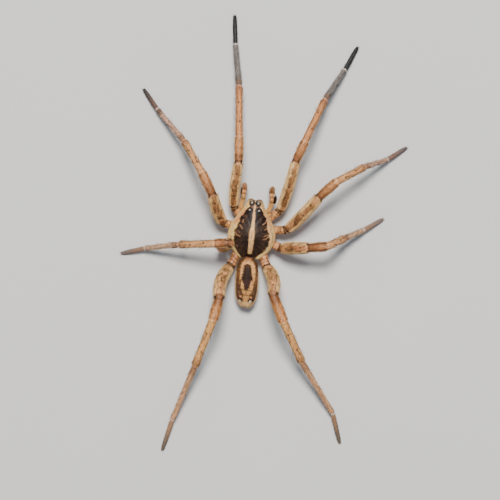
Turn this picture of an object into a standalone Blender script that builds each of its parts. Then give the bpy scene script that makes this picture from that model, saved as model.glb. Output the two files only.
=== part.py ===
"""A male wolf spider, Tigrosa annexa, at life size, standing with its legs spread wide.

The head faces +Y, +Z is up and the feet stand on Z = 0. The origin lies on the floor, under the
middle of the whole spider's box. Sizes below are in millimetres and turn into metres where a mesh
or a curve is made. Places along the body are measured from the middle of the carapace.

Each part that has a name of its own is one closed solid. Neighbours keep a thin gap, and a limb
piece is trimmed where it meets the next one, by its end's radius and the angle of the joint.
"""

import math

import bpy
import bmesh
import numpy as np
from mathutils import Matrix

MM = 0.001

# Where the carapace's middle stands, which centres the spider's box on the origin
BODY_AT = np.array([-0.93, 0.97, 0.0])

# Gaps between neighbours
JOINT_GAP = 0.12
EYE_GAP = 0.03

# Carapace: y, half width, height of the margin, height of the top, and how square its section is:
# above 1 the sides slope like a roof, below 1 they are steep like a box
CARAPACE = [(-3.42, 1.45, 2.30, 2.62, 1.0), (-2.85, 1.86, 2.30, 2.86, 1.0),
            (-1.95, 2.36, 2.30, 3.55, 1.1), (-1.0, 2.60, 2.30, 4.08, 1.12),
            (0.15, 2.44, 2.30, 4.20, 1.1), (1.2, 1.87, 2.30, 4.12, 0.9),
            (2.0, 1.32, 2.34, 4.02, 0.72), (2.6, 1.10, 2.50, 3.92, 0.64),
            (3.07, 1.02, 2.66, 3.82, 0.60)]
CARAPACE_UNDER = 0.10
CARAPACE_NOTCH = 0.42
CARAPACE_NOTCH_HALF = 1.0
HEAD_BLUNT = 7.0
REAR_BLUNT = 3.2

# Eyes: half spacing, y, z, radius. The rear pairs are the large ones of a wolf spider.
EYES = {
    "eye_front_middle": (0.16, 3.03, 3.02, 0.115),
    "eye_front_side": (0.45, 2.99, 2.98, 0.095),
    "eye_rear_middle": (0.335, 2.80, 3.56, 0.225),
    "eye_rear_side": (0.50, 2.02, 3.86, 0.19),
}

# Abdomen: y, half width, lowest and highest z, with its axis turned a little at the waist
ABDOMEN = [(-3.08, 0.72, 1.50, 2.95), (-3.55, 1.04, 1.30, 3.10), (-4.2, 1.15, 1.08, 3.22),
           (-5.3, 1.17, 0.96, 3.26), (-6.4, 1.17, 0.94, 3.14), (-7.2, 1.08, 1.00, 2.86),
           (-7.8, 0.92, 1.06, 2.52), (-8.32, 0.66, 1.10, 2.24)]
ABDOMEN_AXIS_X = -0.10
ABDOMEN_TURN = 0.057
ABDOMEN_BLUNT = 3.6

# Floor of the body between the legs, and the lip in front of it
STERNUM_HALF = (1.06, 1.62)
STERNUM_AT = (0.0, -0.55)
STERNUM_Z = (1.15, 2.10)
LABIUM_HALF = (0.26, 0.26, 0.24)
LABIUM_AT = (0.0, 1.40, 1.50)

# Waist
PEDICEL_Y = (-2.28, -2.98)
PEDICEL_Z = (1.80, 1.92)
PEDICEL_RADIUS = 0.22

# Jaws and fangs
CHELICERA_AT = (0.455, 2.76)
CHELICERA_Z = (0.92, 2.34)
CHELICERA_HALF = (0.405, 0.45)
CHELICERA_LEAN = 0.14
FANG_PATH = [(0.56, 2.94, 0.78), (0.44, 2.94, 0.70), (0.28, 2.90, 0.66), (0.10, 2.80, 0.72)]
FANG_RADIUS = (0.15, 0.04)

# Spinnerets
SPINNERET_AT = (0.17, -8.10, 1.12)
SPINNERET_LENGTH = 0.42
SPINNERET_RADIUS = 0.14

# Palps: joints of the right one and of the left one, from the hip piece to the tip
PALP_HIP = ((0.54, 1.52, 1.58), (1.14, 2.00, 1.74))
PALP_HIP_RADIUS = 0.30
PALP_RIGHT = [(1.46, 2.04, 1.90), (1.64, 2.48, 2.32), (1.73, 3.05, 2.98), (1.71, 3.50, 3.10),
              (1.64, 3.88, 2.72), (1.66, 4.55, 2.02)]
PALP_LEFT = [(-1.45, 2.06, 1.92), (-1.46, 2.52, 2.36), (-1.34, 3.12, 2.98), (-1.32, 3.60, 3.08),
             (-1.32, 3.96, 2.70), (-1.35, 4.64, 2.00)]
PALP_RADIUS = 0.24
PALP_TIP_RADIUS = 0.27

# Legs, front to back: coxa root, then radii of coxa, femur, patella, tibia, metatarsus, tarsus
COXA_ROOT = [(1.00, 0.92), (1.18, 0.03), (1.18, -0.88), (0.96, -1.78)]
COXA_ROOT_Z = 1.66
COXA_RADIUS = [0.41, 0.43, 0.43, 0.46]
FEMUR_RADIUS = [0.53, 0.60, 0.62, 0.66]
PATELLA_RADIUS = [0.46, 0.49, 0.49, 0.54]
TIBIA_RADIUS = [0.35, 0.36, 0.375, 0.40]
METATARSUS_RADIUS = [0.25, 0.255, 0.265, 0.28]
TARSUS_RADIUS = [0.23, 0.23, 0.23, 0.25]
FEMUR_BOW = [0.12, 0.10, 0.0, 0.42]
FEMUR_ARCH = 0.22

# The pose of each leg, read from above: where the femur starts, then the heading in degrees from
# straight ahead and the reach in plan of femur, patella, tibia, metatarsus and tarsus, and the
# height of each joint from the femur's start to the tip
LEGS = {
    "left_1": ((-2.25, 2.13), (0, 5.5, 6.5, 11.5, 8), (4.77, 2.70, 5.49, 4.56, 3.14),
               (2.0, 4.6, 4.55, 2.2, 0.80, 0.10)),
    "right_1": ((2.73, 2.25), (11, 18.5, 19, 27, 23), (5.55, 2.33, 4.97, 3.92, 2.84),
                (2.0, 4.1, 4.75, 2.6, 0.80, 0.10)),
    "left_2": ((-3.25, 0.32), (26, 32, 36, 46.5, 40.5), (3.18, 2.56, 3.92, 4.53, 2.64),
               (2.0, 5.0, 5.2, 3.0, 0.80, 0.10)),
    "right_2": ((3.68, 0.31), (38, 42, 55.5, 65, 52), (4.90, 2.43, 3.48, 2.59, 2.48),
                (2.0, 4.5, 5.15, 3.5, 0.80, 0.10)),
    "left_3": ((-3.16, -2.33), (-58, 99, 98, 102.5, 108.5), (1.07, 1.52, 3.91, 3.66, 2.62),
               (2.0, 5.3, 5.0, 3.3, 0.85, 0.10)),
    "right_3": ((3.29, -1.71), (82.5, 79, 59, 60.5, 54), (2.96, 1.96, 2.0, 2.32, 2.43),
                (2.0, 4.4, 5.0, 2.4, 0.80, 0.10)),
    "left_4": ((-1.92, -4.25), (168, 170.5, 165, 163.5, 168.5), (3.62, 2.32, 5.36, 6.33, 3.44),
               (2.0, 5.2, 5.8, 3.4, 0.80, 0.10)),
    "right_4": ((2.01, -3.92), (161, 152, 149, 142.5, 160.5), (2.99, 3.06, 4.79, 6.51, 3.27),
                (2.0, 5.3, 5.75, 3.2, 0.80, 0.10)),
}

# Radius along each limb piece, as a share of the piece's own radius, at shares of its length
COXA_FORM = ((0.0, 0.12, 0.45, 0.62, 0.70, 0.86, 1.0), (0.78, 0.94, 1.0, 0.97, 0.90, 1.0, 0.78))
FEMUR_FORM = ((0.0, 0.05, 0.14, 0.34, 0.62, 0.86, 0.95, 1.0),
              (0.60, 0.76, 0.88, 1.0, 0.97, 0.86, 0.78, 0.64))
PATELLA_FORM = ((0.0, 0.10, 0.35, 0.70, 1.0), (0.68, 0.88, 1.0, 0.98, 0.84))
TIBIA_FORM = ((0.0, 0.10, 0.35, 0.78, 0.90, 0.96, 1.0), (0.90, 1.05, 1.0, 0.86, 0.98, 0.90, 0.62))
METATARSUS_FORM = ((0.0, 0.06, 0.15, 0.50, 0.85, 0.95, 1.0),
                   (0.80, 1.12, 1.0, 0.90, 0.84, 0.92, 0.84))
TARSUS_FORM = ((0.0, 0.10, 0.45, 0.80, 0.94, 1.0), (0.86, 1.0, 0.98, 0.92, 0.86, 0.50))
PALP_FORM = ((0.0, 0.08, 0.30, 0.50, 0.60, 0.75, 0.85, 0.95, 1.0),
             (0.70, 0.95, 1.0, 0.90, 1.0, 1.02, 0.90, 1.04, 0.76))
PALP_TIP_FORM = ((0.0, 0.12, 0.40, 0.75, 0.92, 1.0), (0.72, 0.94, 1.0, 0.84, 0.56, 0.26))

# Colours, roughness 0 to 1
DARK_BROWN = (0.045, 0.024, 0.015)
CREAM = (0.62, 0.52, 0.33)
TAN = (0.45, 0.27, 0.12)
TAN_DARK = (0.33, 0.17, 0.07)
BLACK = (0.012, 0.012, 0.012)
GREY = (0.14, 0.12, 0.11)
EYE_BLACK = (0.008, 0.007, 0.007)


def clear_scene():
    """Removes whatever the scene holds."""
    for obj in list(bpy.data.objects):
        bpy.data.objects.remove(obj, do_unlink=True)


def new_collection(name):
    """A collection of this name, linked to the scene."""
    collection = bpy.data.collections.new(name)
    bpy.context.scene.collection.children.link(collection)
    return collection


def material(name, colour, roughness):
    """A Principled material of one colour."""
    made = bpy.data.materials.new(name)
    made.use_nodes = True
    shader = made.node_tree.nodes["Principled BSDF"]
    shader.inputs["Base Color"].default_value = (*colour, 1.0)
    shader.inputs["Roughness"].default_value = roughness
    shader.inputs["Metallic"].default_value = 0.0
    return made


def add_node(name, mesh, colour, roughness=0.65):
    """One named object of the spider, with a material of its own."""
    obj = bpy.data.objects.new(name, mesh)
    mesh.materials.append(material(name, colour, roughness))
    mesh.shade_smooth()
    SPIDER.objects.link(obj)
    return obj


def between(stations, x):
    """Columns of a station table, read at x: the first column rises or falls steadily."""
    table = np.array(stations, dtype=float)
    order = np.argsort(table[:, 0])
    return [np.interp(x, table[order, 0], table[order, column]) for column in range(1, table.shape[1])]


def shaped_ball(name, place, around=20, rings=16, poles_on_y=True):
    """A sphere's mesh whose points are moved by place, from the unit sphere to millimetres."""
    mesh = bpy.data.meshes.new(name)
    turn = Matrix.Rotation(-math.pi / 2, 4, "X") if poles_on_y else Matrix.Identity(4)
    shape = bmesh.new()
    bmesh.ops.create_uvsphere(shape, u_segments=around, v_segments=rings, radius=1.0, matrix=turn)
    unit = np.array([vertex.co for vertex in shape.verts])
    for vertex, point in zip(shape.verts, (place(unit) + BODY_AT) * MM):
        vertex.co = point
    bmesh.ops.triangulate(shape, faces=shape.faces)
    shape.to_mesh(mesh)
    shape.free()
    return mesh


def section(unit, axis):
    """Splits unit sphere points into the share along one axis and the direction around it."""
    along = np.clip(unit[:, axis], -1.0, 1.0)
    sides = np.delete(unit, axis, axis=1)
    ring = np.linalg.norm(sides, axis=1)
    ring[ring < 1e-6] = 1.0
    return along, sides / ring[:, None]


def blunt(along, power):
    """Size of a section between two poles: 0 at the poles, and the flatter the higher the power."""
    return (1.0 - np.abs(along) ** power) ** (1.0 / power)


def place_carapace(unit):
    """An arched shield: stations along Y, half ellipses above, nearly flat below."""
    along, side = section(unit, 1)
    front, rear = CARAPACE[-1][0], CARAPACE[0][0]
    y = (front + rear) / 2 + (front - rear) / 2 * along
    half_width, margin, top, square = between(CARAPACE, y)
    size = np.where(along > 0, blunt(along, HEAD_BLUNT), blunt(along, REAR_BLUNT))
    x = half_width * size * side[:, 0]
    arch = (top - margin) * np.abs(side[:, 1]) ** square
    rise = np.where(side[:, 1] > 0, arch, CARAPACE_UNDER * side[:, 1])
    z = margin + rise * size
    notch = np.clip(1.0 - (x / CARAPACE_NOTCH_HALF) ** 2, 0.0, 1.0)
    y = y + CARAPACE_NOTCH * notch * np.clip(-along, 0.0, 1.0) ** 6
    return np.column_stack([x, y, z])


def place_abdomen(unit):
    """An egg with a blunt front: stations along Y, ellipses between a lowest and a highest z."""
    along, side = section(unit, 1)
    front, rear = ABDOMEN[0][0], ABDOMEN[-1][0]
    y = (front + rear) / 2 + (front - rear) / 2 * along
    half_width, low, high = between(ABDOMEN, y)
    size = blunt(along, ABDOMEN_BLUNT)
    x = ABDOMEN_AXIS_X + ABDOMEN_TURN * (front - y) + half_width * size * side[:, 0]
    z = (low + high) / 2 + (high - low) / 2 * size * side[:, 1]
    return np.column_stack([x, y, z])


def place_box_ball(centre, half, power=2.0):
    """A rounded block: half sizes on the three axes, squarer the higher the power."""
    def place(unit):
        soft = np.sign(unit) * np.abs(unit) ** (2.0 / power)
        return np.array(centre) + soft * np.array(half)
    return place


def place_sternum(unit):
    """A shield that tapers to the rear, with a full edge that the legs start from."""
    soft = np.sign(unit) * np.abs(unit) ** 0.7
    taper = 1.0 - 0.16 * np.clip(-unit[:, 1], 0.0, 1.0)
    x = STERNUM_AT[0] + STERNUM_HALF[0] * soft[:, 0] * taper
    y = STERNUM_AT[1] + STERNUM_HALF[1] * unit[:, 1]
    z = sum(STERNUM_Z) / 2 + (STERNUM_Z[1] - STERNUM_Z[0]) / 2 * soft[:, 2]
    return np.column_stack([x, y, z])


def place_chelicera(side):
    """A stout jaw that hangs down and leans forward, fullest above its middle."""
    def place(unit):
        along, around = section(unit, 2)
        size = blunt(along, 3.0) * (1.0 + 0.10 * along)
        x = side * CHELICERA_AT[0] + CHELICERA_HALF[0] * size * around[:, 0]
        y = CHELICERA_AT[1] - CHELICERA_LEAN * along + CHELICERA_HALF[1] * size * around[:, 1]
        z = sum(CHELICERA_Z) / 2 + (CHELICERA_Z[1] - CHELICERA_Z[0]) / 2 * along
        return np.column_stack([x, y, z])
    return place


def smooth_path(points, count):
    """Points spread evenly by share of length along a smooth curve through the given ones."""
    knots = np.array(points, dtype=float)
    step = np.linalg.norm(np.diff(knots, axis=0), axis=1)
    share = np.concatenate([[0.0], np.cumsum(step)]) / step.sum()
    slope = np.gradient(knots, share, axis=0)
    at = np.linspace(0.0, 1.0, count)
    left = np.clip(np.searchsorted(share, at, side="right") - 1, 0, len(share) - 2)
    span = (share[left + 1] - share[left])[:, None]
    t = ((at - share[left]) / span[:, 0])[:, None]
    return ((2 * t**3 - 3 * t**2 + 1) * knots[left] + (t**3 - 2 * t**2 + t) * span * slope[left]
            + (3 * t**2 - 2 * t**3) * knots[left + 1] + (t**3 - t**2) * span * slope[left + 1])


def limb_mesh(name, path, radii, resolution):
    """A tube along the path with its own radius at each point, closed by caps, feet cut flat at Z 0."""
    curve = bpy.data.curves.new(name, "CURVE")
    curve.dimensions = "3D"
    curve.bevel_depth = MM
    curve.bevel_resolution = resolution
    curve.use_fill_caps = True
    curve.twist_mode = "MINIMUM"
    spline = curve.splines.new("POLY")
    spline.points.add(len(path) - 1)
    for point, place, radius in zip(spline.points, (np.array(path) + BODY_AT) * MM, radii):
        point.co = (*place, 1.0)
        point.radius = radius
    guide = bpy.data.objects.new(name + "_guide", curve)
    SPIDER.objects.link(guide)
    bpy.context.view_layer.update()
    mesh = bpy.data.meshes.new_from_object(guide.evaluated_get(bpy.context.evaluated_depsgraph_get()))
    mesh.name = name
    bpy.data.objects.remove(guide, do_unlink=True)
    bpy.data.curves.remove(curve)
    shape = bmesh.new()
    shape.from_mesh(mesh)
    bmesh.ops.remove_doubles(shape, verts=shape.verts, dist=1e-7)
    for vertex in shape.verts:
        vertex.co.z = max(vertex.co.z, 0.0)
    bmesh.ops.triangulate(shape, faces=shape.faces)
    bmesh.ops.recalc_face_normals(shape, faces=shape.faces)
    shape.to_mesh(mesh)
    shape.free()
    return mesh


def limb(name, knots, form, radius, colour, trims=(0.0, 0.0), count=6, resolution=2):
    """A limb piece through its knots, shortened at both ends and given its form's radii."""
    path = smooth_path(knots, 60)
    step = np.concatenate([[0.0], np.cumsum(np.linalg.norm(np.diff(path, axis=0), axis=1))])
    inner = np.linspace(trims[0], step[-1] - trims[1], 200)
    marks = np.union1d(np.array(form[0]), np.linspace(0.0, 1.0, count))
    marks = marks[np.concatenate([[True], np.diff(marks) > 0.02])]
    at = inner[0] + (inner[-1] - inner[0]) * marks
    places = np.column_stack([np.interp(at, step, path[:, axis]) for axis in range(3)])
    radii = radius * np.interp(marks, form[0], form[1])
    return add_node(name, limb_mesh(name, places, radii, resolution), colour)


def leg_joints(name):
    """The six joints of a leg, from the femur's start to the tip, worked out from its pose."""
    start, headings, reaches, heights = LEGS[name]
    side = -1.0 if name.startswith("left") else 1.0
    turn = np.radians(headings)
    steps = np.array(reaches)[:, None] * np.column_stack([side * np.sin(turn), np.cos(turn)])
    plan = np.vstack([start, np.array(start) + np.cumsum(steps, axis=0)])
    return np.column_stack([plan, heights])


def unit(vector):
    """The vector at length one."""
    return np.array(vector) / np.linalg.norm(vector)


def trim_at(before, after, radius):
    """How far a limb piece stops short of a joint where the leg turns from one direction to the next."""
    turn = math.acos(float(np.clip(np.dot(unit(before), unit(after)), -1.0, 1.0)))
    return JOINT_GAP / 2 + radius * math.tan(turn / 2)


def femur_path(start, knee, side, bow):
    """From hip to knee: bowed outwards in plan and arched upwards, most in the middle."""
    chord = knee - start
    across = unit([chord[1], -chord[0], 0.0])
    outward = across * side * math.copysign(1.0, across[0])
    share = np.linspace(0.0, 1.0, 7)[:, None]
    swell = 4 * share * (1 - share)
    return start + share * chord + swell * (bow * outward + FEMUR_ARCH * np.array([0.0, 0.0, 1.0]))


def build_leg(name):
    """Four pieces of one leg: hip (coxa and trochanter), femur, shin (patella and tibia), foot."""
    pair = int(name[-1]) - 1
    side = -1.0 if name.startswith("left") else 1.0
    joints = leg_joints(name)
    root = np.array([side * COXA_ROOT[pair][0], COXA_ROOT[pair][1], COXA_ROOT_Z])
    hip = joints[0]
    femur = femur_path(hip, joints[1], side, FEMUR_BOW[pair])
    hip_end = COXA_RADIUS[pair] * COXA_FORM[1][-1]
    femur_start = FEMUR_RADIUS[pair] * FEMUR_FORM[1][0]
    hip_turn = (hip - root, femur[1] - femur[0])
    limb("hip_" + name, [root, (root + hip) / 2 + np.array([0, 0, -0.04]), hip], COXA_FORM,
         COXA_RADIUS[pair], TAN, (0.0, trim_at(*hip_turn, hip_end)), count=2)
    knee_turn = (femur[-1] - femur[-2], joints[2] - joints[1])
    femur_end = FEMUR_RADIUS[pair] * FEMUR_FORM[1][-1]
    limb("femur_" + name, femur, FEMUR_FORM, FEMUR_RADIUS[pair], TAN,
         (trim_at(*hip_turn, femur_start), trim_at(*knee_turn, femur_end)))
    build_shin(name, joints, pair, trim_at(*knee_turn, PATELLA_RADIUS[pair] * PATELLA_FORM[1][0]))
    build_foot(name, joints, pair)


def joined_form(first, second, split, ratio):
    """One radius form for two pieces in a row: the first up to split, the second beyond it."""
    marks = [mark * split for mark in first[0]] + [split + mark * (1 - split) for mark in second[0][1:]]
    sizes = list(first[1]) + [size * ratio for size in second[1][1:]]
    return marks, sizes


def build_shin(name, joints, pair, knee_trim):
    """Patella and tibia in one piece, with a waist where they meet."""
    first = np.linalg.norm(joints[2] - joints[1])
    second = np.linalg.norm(joints[3] - joints[2])
    ankle_turn = (joints[3] - joints[2], joints[4] - joints[3])
    split = (first - knee_trim) / (first + second - knee_trim)
    form = joined_form(PATELLA_FORM, TIBIA_FORM, split, TIBIA_RADIUS[pair] / PATELLA_RADIUS[pair])
    end = TIBIA_RADIUS[pair] * TIBIA_FORM[1][-1]
    limb("tibia_" + name, joints[1:4], form, PATELLA_RADIUS[pair], TAN_DARK,
         (knee_trim, trim_at(*ankle_turn, end)), count=2)


def build_foot(name, joints, pair):
    """Metatarsus and tarsus in one piece, flat underneath where the tip stands on the floor."""
    first = np.linalg.norm(joints[4] - joints[3])
    second = np.linalg.norm(joints[5] - joints[4])
    ankle_turn = (joints[3] - joints[2], joints[4] - joints[3])
    start = METATARSUS_RADIUS[pair] * METATARSUS_FORM[1][0]
    trim = trim_at(*ankle_turn, start)
    split = (first - trim) / (first + second - trim)
    form = joined_form(METATARSUS_FORM, TARSUS_FORM, split, TARSUS_RADIUS[pair] / METATARSUS_RADIUS[pair])
    limb("foot_" + name, joints[3:6], form, METATARSUS_RADIUS[pair], GREY if pair == 0 else TAN_DARK,
         (trim, 0.0), count=2, resolution=1)


def build_palps():
    """On each side the palp's hip piece, its arm and its tip."""
    for label, side, path in (("right", 1.0, PALP_RIGHT), ("left", -1.0, PALP_LEFT)):
        joints = np.array(path)
        hip = np.array(PALP_HIP) * np.array([side, 1.0, 1.0])
        hip_form = ((0.0, 0.25, 0.6, 1.0), (0.62, 0.96, 1.0, 0.60))
        limb("palp_hip_" + label, hip, hip_form, PALP_HIP_RADIUS, TAN, count=4)
        tip_turn = (joints[4] - joints[3], joints[5] - joints[4])
        trim = trim_at(*tip_turn, PALP_RADIUS * PALP_FORM[1][-1])
        limb("palp_arm_" + label, joints[:5], PALP_FORM, PALP_RADIUS, TAN, (JOINT_GAP, trim), count=2)
        limb("palp_tip_" + label, joints[4:], PALP_TIP_FORM, PALP_TIP_RADIUS, TAN_DARK, (trim, 0.0), count=2)


def build_eyes(carapace):
    """Eight eyes in two pairs of rows, each a ball in a socket cut into the carapace."""
    for row, (half, y, z, radius) in EYES.items():
        for label, side in (("left", -1.0), ("right", 1.0)):
            centre = (side * half, y, z)
            name = row + "_" + label
            mesh = shaped_ball(name, place_box_ball(centre, [radius] * 3), around=10, rings=7)
            add_node(name, mesh, EYE_BLACK, roughness=0.1)
            socket_mesh = shaped_ball(name + "_socket", place_box_ball(centre, [radius + EYE_GAP] * 3),
                                      around=10, rings=7)
            socket = bpy.data.objects.new(name + "_socket", socket_mesh)
            socket.hide_render = True
            socket.display_type = "WIRE"
            CUTTERS.objects.link(socket)
    cut = carapace.modifiers.new("sockets", "BOOLEAN")
    cut.operation = "DIFFERENCE"
    cut.operand_type = "COLLECTION"
    cut.collection = CUTTERS
    cut.solver = "EXACT"


def build_mouth():
    """Two jaws with a fang each, and the lip behind them."""
    for label, side in (("left", -1.0), ("right", 1.0)):
        jaw = shaped_ball("chelicera_" + label, place_chelicera(side), around=12, rings=10, poles_on_y=False)
        add_node("chelicera_" + label, jaw, DARK_BROWN, roughness=0.4)
        fang = np.array(FANG_PATH) * np.array([side, 1.0, 1.0])
        form = ((0.0, 1.0), (1.0, FANG_RADIUS[1] / FANG_RADIUS[0]))
        limb("fang_" + label, fang, form, FANG_RADIUS[0], DARK_BROWN, count=6, resolution=1)
    lip = shaped_ball("labium", place_box_ball(LABIUM_AT, LABIUM_HALF, power=2.6), around=12, rings=8)
    add_node("labium", lip, TAN_DARK)


def build_rear():
    """The waist, the abdomen and the two spinnerets that show behind it."""
    waist = [(0.0, y, z) for y, z in zip(PEDICEL_Y, PEDICEL_Z)]
    limb("pedicel", waist, ((0.0, 0.3, 1.0), (0.9, 1.0, 0.85)), PEDICEL_RADIUS, TAN, count=3)
    add_node("abdomen", shaped_ball("abdomen", place_abdomen, around=22, rings=18), DARK_BROWN)
    shift = ABDOMEN_AXIS_X + ABDOMEN_TURN * (ABDOMEN[0][0] - SPINNERET_AT[1])
    for label, side in (("left", -1.0), ("right", 1.0)):
        start = np.array([shift + side * SPINNERET_AT[0], SPINNERET_AT[1], SPINNERET_AT[2]])
        end = start + SPINNERET_LENGTH * unit([0.12 * side, -1.0, -0.18])
        form = ((0.0, 0.5, 0.85, 1.0), (0.9, 1.0, 0.85, 0.45))
        limb("spinneret_" + label, [start, end], form, SPINNERET_RADIUS, TAN, count=4, resolution=1)


clear_scene()
SPIDER = new_collection("wolf_spider")
CUTTERS = new_collection("cutters")
shield = add_node("carapace", shaped_ball("carapace", place_carapace, around=28, rings=22), DARK_BROWN)
add_node("sternum", shaped_ball("sternum", place_sternum, around=16, rings=10), TAN)
build_eyes(shield)
build_mouth()
build_palps()
build_rear()
for leg_name in LEGS:
    build_leg(leg_name)
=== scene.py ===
# %% [markdown]
# A wolf spider at life size, dressed for a museum table
#
# The frame below holds the spider's solids: where each leg bends and how thick it is. This script
# puts the looks on it: a skin with its marks, a coat of short hairs, spines, eyes and claws. Sizes
# are in millimetres and turn into metres only when a mesh is made.

# %% Load the frame
import math

import bpy
import numpy as np
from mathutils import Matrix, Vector


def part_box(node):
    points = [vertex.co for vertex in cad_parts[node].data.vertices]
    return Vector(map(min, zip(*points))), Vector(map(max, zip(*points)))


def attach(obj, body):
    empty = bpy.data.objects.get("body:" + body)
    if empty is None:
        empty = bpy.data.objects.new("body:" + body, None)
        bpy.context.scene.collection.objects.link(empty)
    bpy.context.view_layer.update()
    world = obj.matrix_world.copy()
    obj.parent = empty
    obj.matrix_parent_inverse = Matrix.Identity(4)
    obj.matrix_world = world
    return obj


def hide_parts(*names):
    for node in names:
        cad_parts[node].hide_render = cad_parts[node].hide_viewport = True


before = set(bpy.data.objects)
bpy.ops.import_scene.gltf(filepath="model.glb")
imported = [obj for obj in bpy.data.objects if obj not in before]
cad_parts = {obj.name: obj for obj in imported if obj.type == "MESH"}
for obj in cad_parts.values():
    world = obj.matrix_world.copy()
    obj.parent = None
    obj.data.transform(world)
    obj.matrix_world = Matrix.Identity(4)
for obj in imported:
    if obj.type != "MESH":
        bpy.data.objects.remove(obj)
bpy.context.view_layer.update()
MM = 0.001
SIDES = {"left": -1.0, "right": 1.0}
print("nodes in the frame:", len(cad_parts))

# %% [markdown]
# Where the body stands
#
# Places on the body are easiest to think of from the middle of the carapace, the shield over the
# head and chest. The frame's own box of that node tells where this middle is.

# %% Find the middle of the carapace
low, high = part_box("carapace")
CARAPACE_Y = (-3.42, 3.07)
BODY_AT = np.array([(low.x + high.x) / 2 / MM, high.y / MM - CARAPACE_Y[1], 0.0])
print("middle of the carapace, mm:", BODY_AT.round(2))

# %% [markdown]
# The photograph's view
#
# The photo looks straight down on the spider, which is turned a little on the picture. A long lens
# gives the flat view of a small animal photographed from half a metre away.

# %% Set the camera
TURN = math.radians(6.5)
VIEW_CENTRE = (-0.00092, -0.00129, 0.003)
VIEW_DISTANCE = 0.5
VIEW_WIDTH = 0.0535
lens = bpy.data.cameras.new("table_camera")
lens.sensor_width = 36.0
lens.lens = VIEW_DISTANCE * lens.sensor_width / VIEW_WIDTH
lens.clip_start = 0.01
camera = bpy.data.objects.new("table_camera", lens)
camera.location = Vector(VIEW_CENTRE) + Vector((0.0, 0.0, VIEW_DISTANCE))
camera.rotation_euler = (0.0, 0.0, TURN)
bpy.context.scene.collection.objects.link(camera)
bpy.context.scene.camera = camera
print("lens, mm:", round(lens.lens, 1))

# %% [markdown]
# Light
#
# One soft light hangs over the head end, so the shadows fall behind the legs, and a pale sky fills
# them with a cool tone.

# %% Hang the light
LIGHT_STEEPNESS = math.radians(69)
LIGHT_DISTANCE = 0.6
LIGHT_SIZE = 0.17
LIGHT_POWER = 6.5
LIGHT_COLOUR = (1.0, 0.958, 0.895)
SKY_COLOUR = (0.76, 0.86, 1.0, 1.0)
SKY_STRENGTH = 0.39
towards = Vector((-math.sin(TURN) * math.cos(LIGHT_STEEPNESS), math.cos(TURN) * math.cos(LIGHT_STEEPNESS),
                  math.sin(LIGHT_STEEPNESS)))
lamp = bpy.data.lights.new("soft_light", "AREA")
lamp.shape = "DISK"
lamp.size = LIGHT_SIZE
lamp.energy = LIGHT_POWER
lamp.color = LIGHT_COLOUR
soft_light = bpy.data.objects.new("soft_light", lamp)
soft_light.location = towards * LIGHT_DISTANCE
soft_light.rotation_euler = towards.to_track_quat("Z", "Y").to_euler()
bpy.context.scene.collection.objects.link(soft_light)

studio = bpy.data.worlds.new("studio")
studio.use_nodes = True
sky = studio.node_tree.nodes["Background"]
sky.inputs["Color"].default_value = SKY_COLOUR
sky.inputs["Strength"].default_value = SKY_STRENGTH
bpy.context.scene.world = studio
print("light above the floor, degrees:", round(math.degrees(LIGHT_STEEPNESS)))

# %% [markdown]
# Colours as the eye reads them
#
# Colours are named as they look in the picture, 0 to 255. Blender's film-like view fades bright
# colours and lifts dark ones, so each paint is first deepened by the inverse of that curve. The curve
# was found with a chart of plain patches under this light. Marks are laid on like coats of paint, each
# through a mask that says where it shows.

# %% Colours of the spider
VIEW_CURVE = (-7.90, 19.01, -21.16, 11.71)
VIEW_MIX = np.array([[0.97, 0.03, 0.0], [0.13, 0.90, 0.0], [0.04, 0.08, 0.92]])
DARKEST, BRIGHTEST = 0.003, 0.86
DARK = (66, 43, 33)
RING = (66, 42, 34)
HAZE = (116, 90, 74)
CREAM = (222, 192, 156)


def paint(red, green, blue):
    """Linear light of a picture colour: e to a cubic of each channel's share of 255. Light that bounces
    between hairs deepens a colour, so a little red goes into the green and the blue. A paint brighter
    than any real one is dimmed as a whole, so that its tone stays."""
    share = np.array([red, green, blue]) / 255.0
    light = VIEW_MIX @ np.exp(sum(factor * share**power for power, factor in enumerate(VIEW_CURVE)))
    return light * min(1.0, BRIGHTEST / light.max())


class Paintwork:
    """Paint on the points of a piece, coat by coat. A colour is a picture colour, or an array of
    linear light for all the points."""

    def __init__(self, count, colour):
        self.light = np.tile(paint(*colour), (count, 1))

    def lay(self, colour, mask):
        """One more coat: the mask, 0 to 1, says how much of it shows."""
        light = paint(*colour) if isinstance(colour, tuple) else colour
        cover = np.clip(mask, 0.0, 1.0)[:, None]
        self.light = self.light * (1.0 - cover) + light * cover

    def finished(self):
        """The light of all the coats, kept within what real surfaces send back."""
        return np.clip(self.light, DARKEST, BRIGHTEST)


def one_colour(*colour):
    """A function that gives every point this colour."""
    return lambda points: Paintwork(len(points), colour).light


def step(value, edge, soft):
    """0 below the edge and 1 above it, with a soft rise as wide as soft."""
    share = np.clip((value - edge) / soft + 0.5, 0.0, 1.0)
    return share * share * (3.0 - 2.0 * share)


def spot(distance, radius, soft=0.4):
    """1 where a distance of either sign is inside the radius and 0 outside, with a soft edge that is
    a share of the radius."""
    return 1.0 - step(np.abs(distance), radius, radius * soft)


def mottle(points, size, seed):
    """Cloudy noise from -1 to 1: a sum of plane waves of about one length in random directions."""
    draw = np.random.default_rng(seed)
    waves = 16
    heading = draw.normal(size=(3, waves))
    heading /= np.linalg.norm(heading, axis=0)
    pitch = 2.0 * math.pi / (size * draw.uniform(0.6, 1.6, waves))
    phase = draw.uniform(0.0, 2.0 * math.pi, waves)
    return np.clip(np.sin(points @ (heading * pitch) + phase).sum(axis=1) / math.sqrt(waves), -1.0, 1.0)


print("cream in linear light:", paint(*CREAM).round(2))

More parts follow.
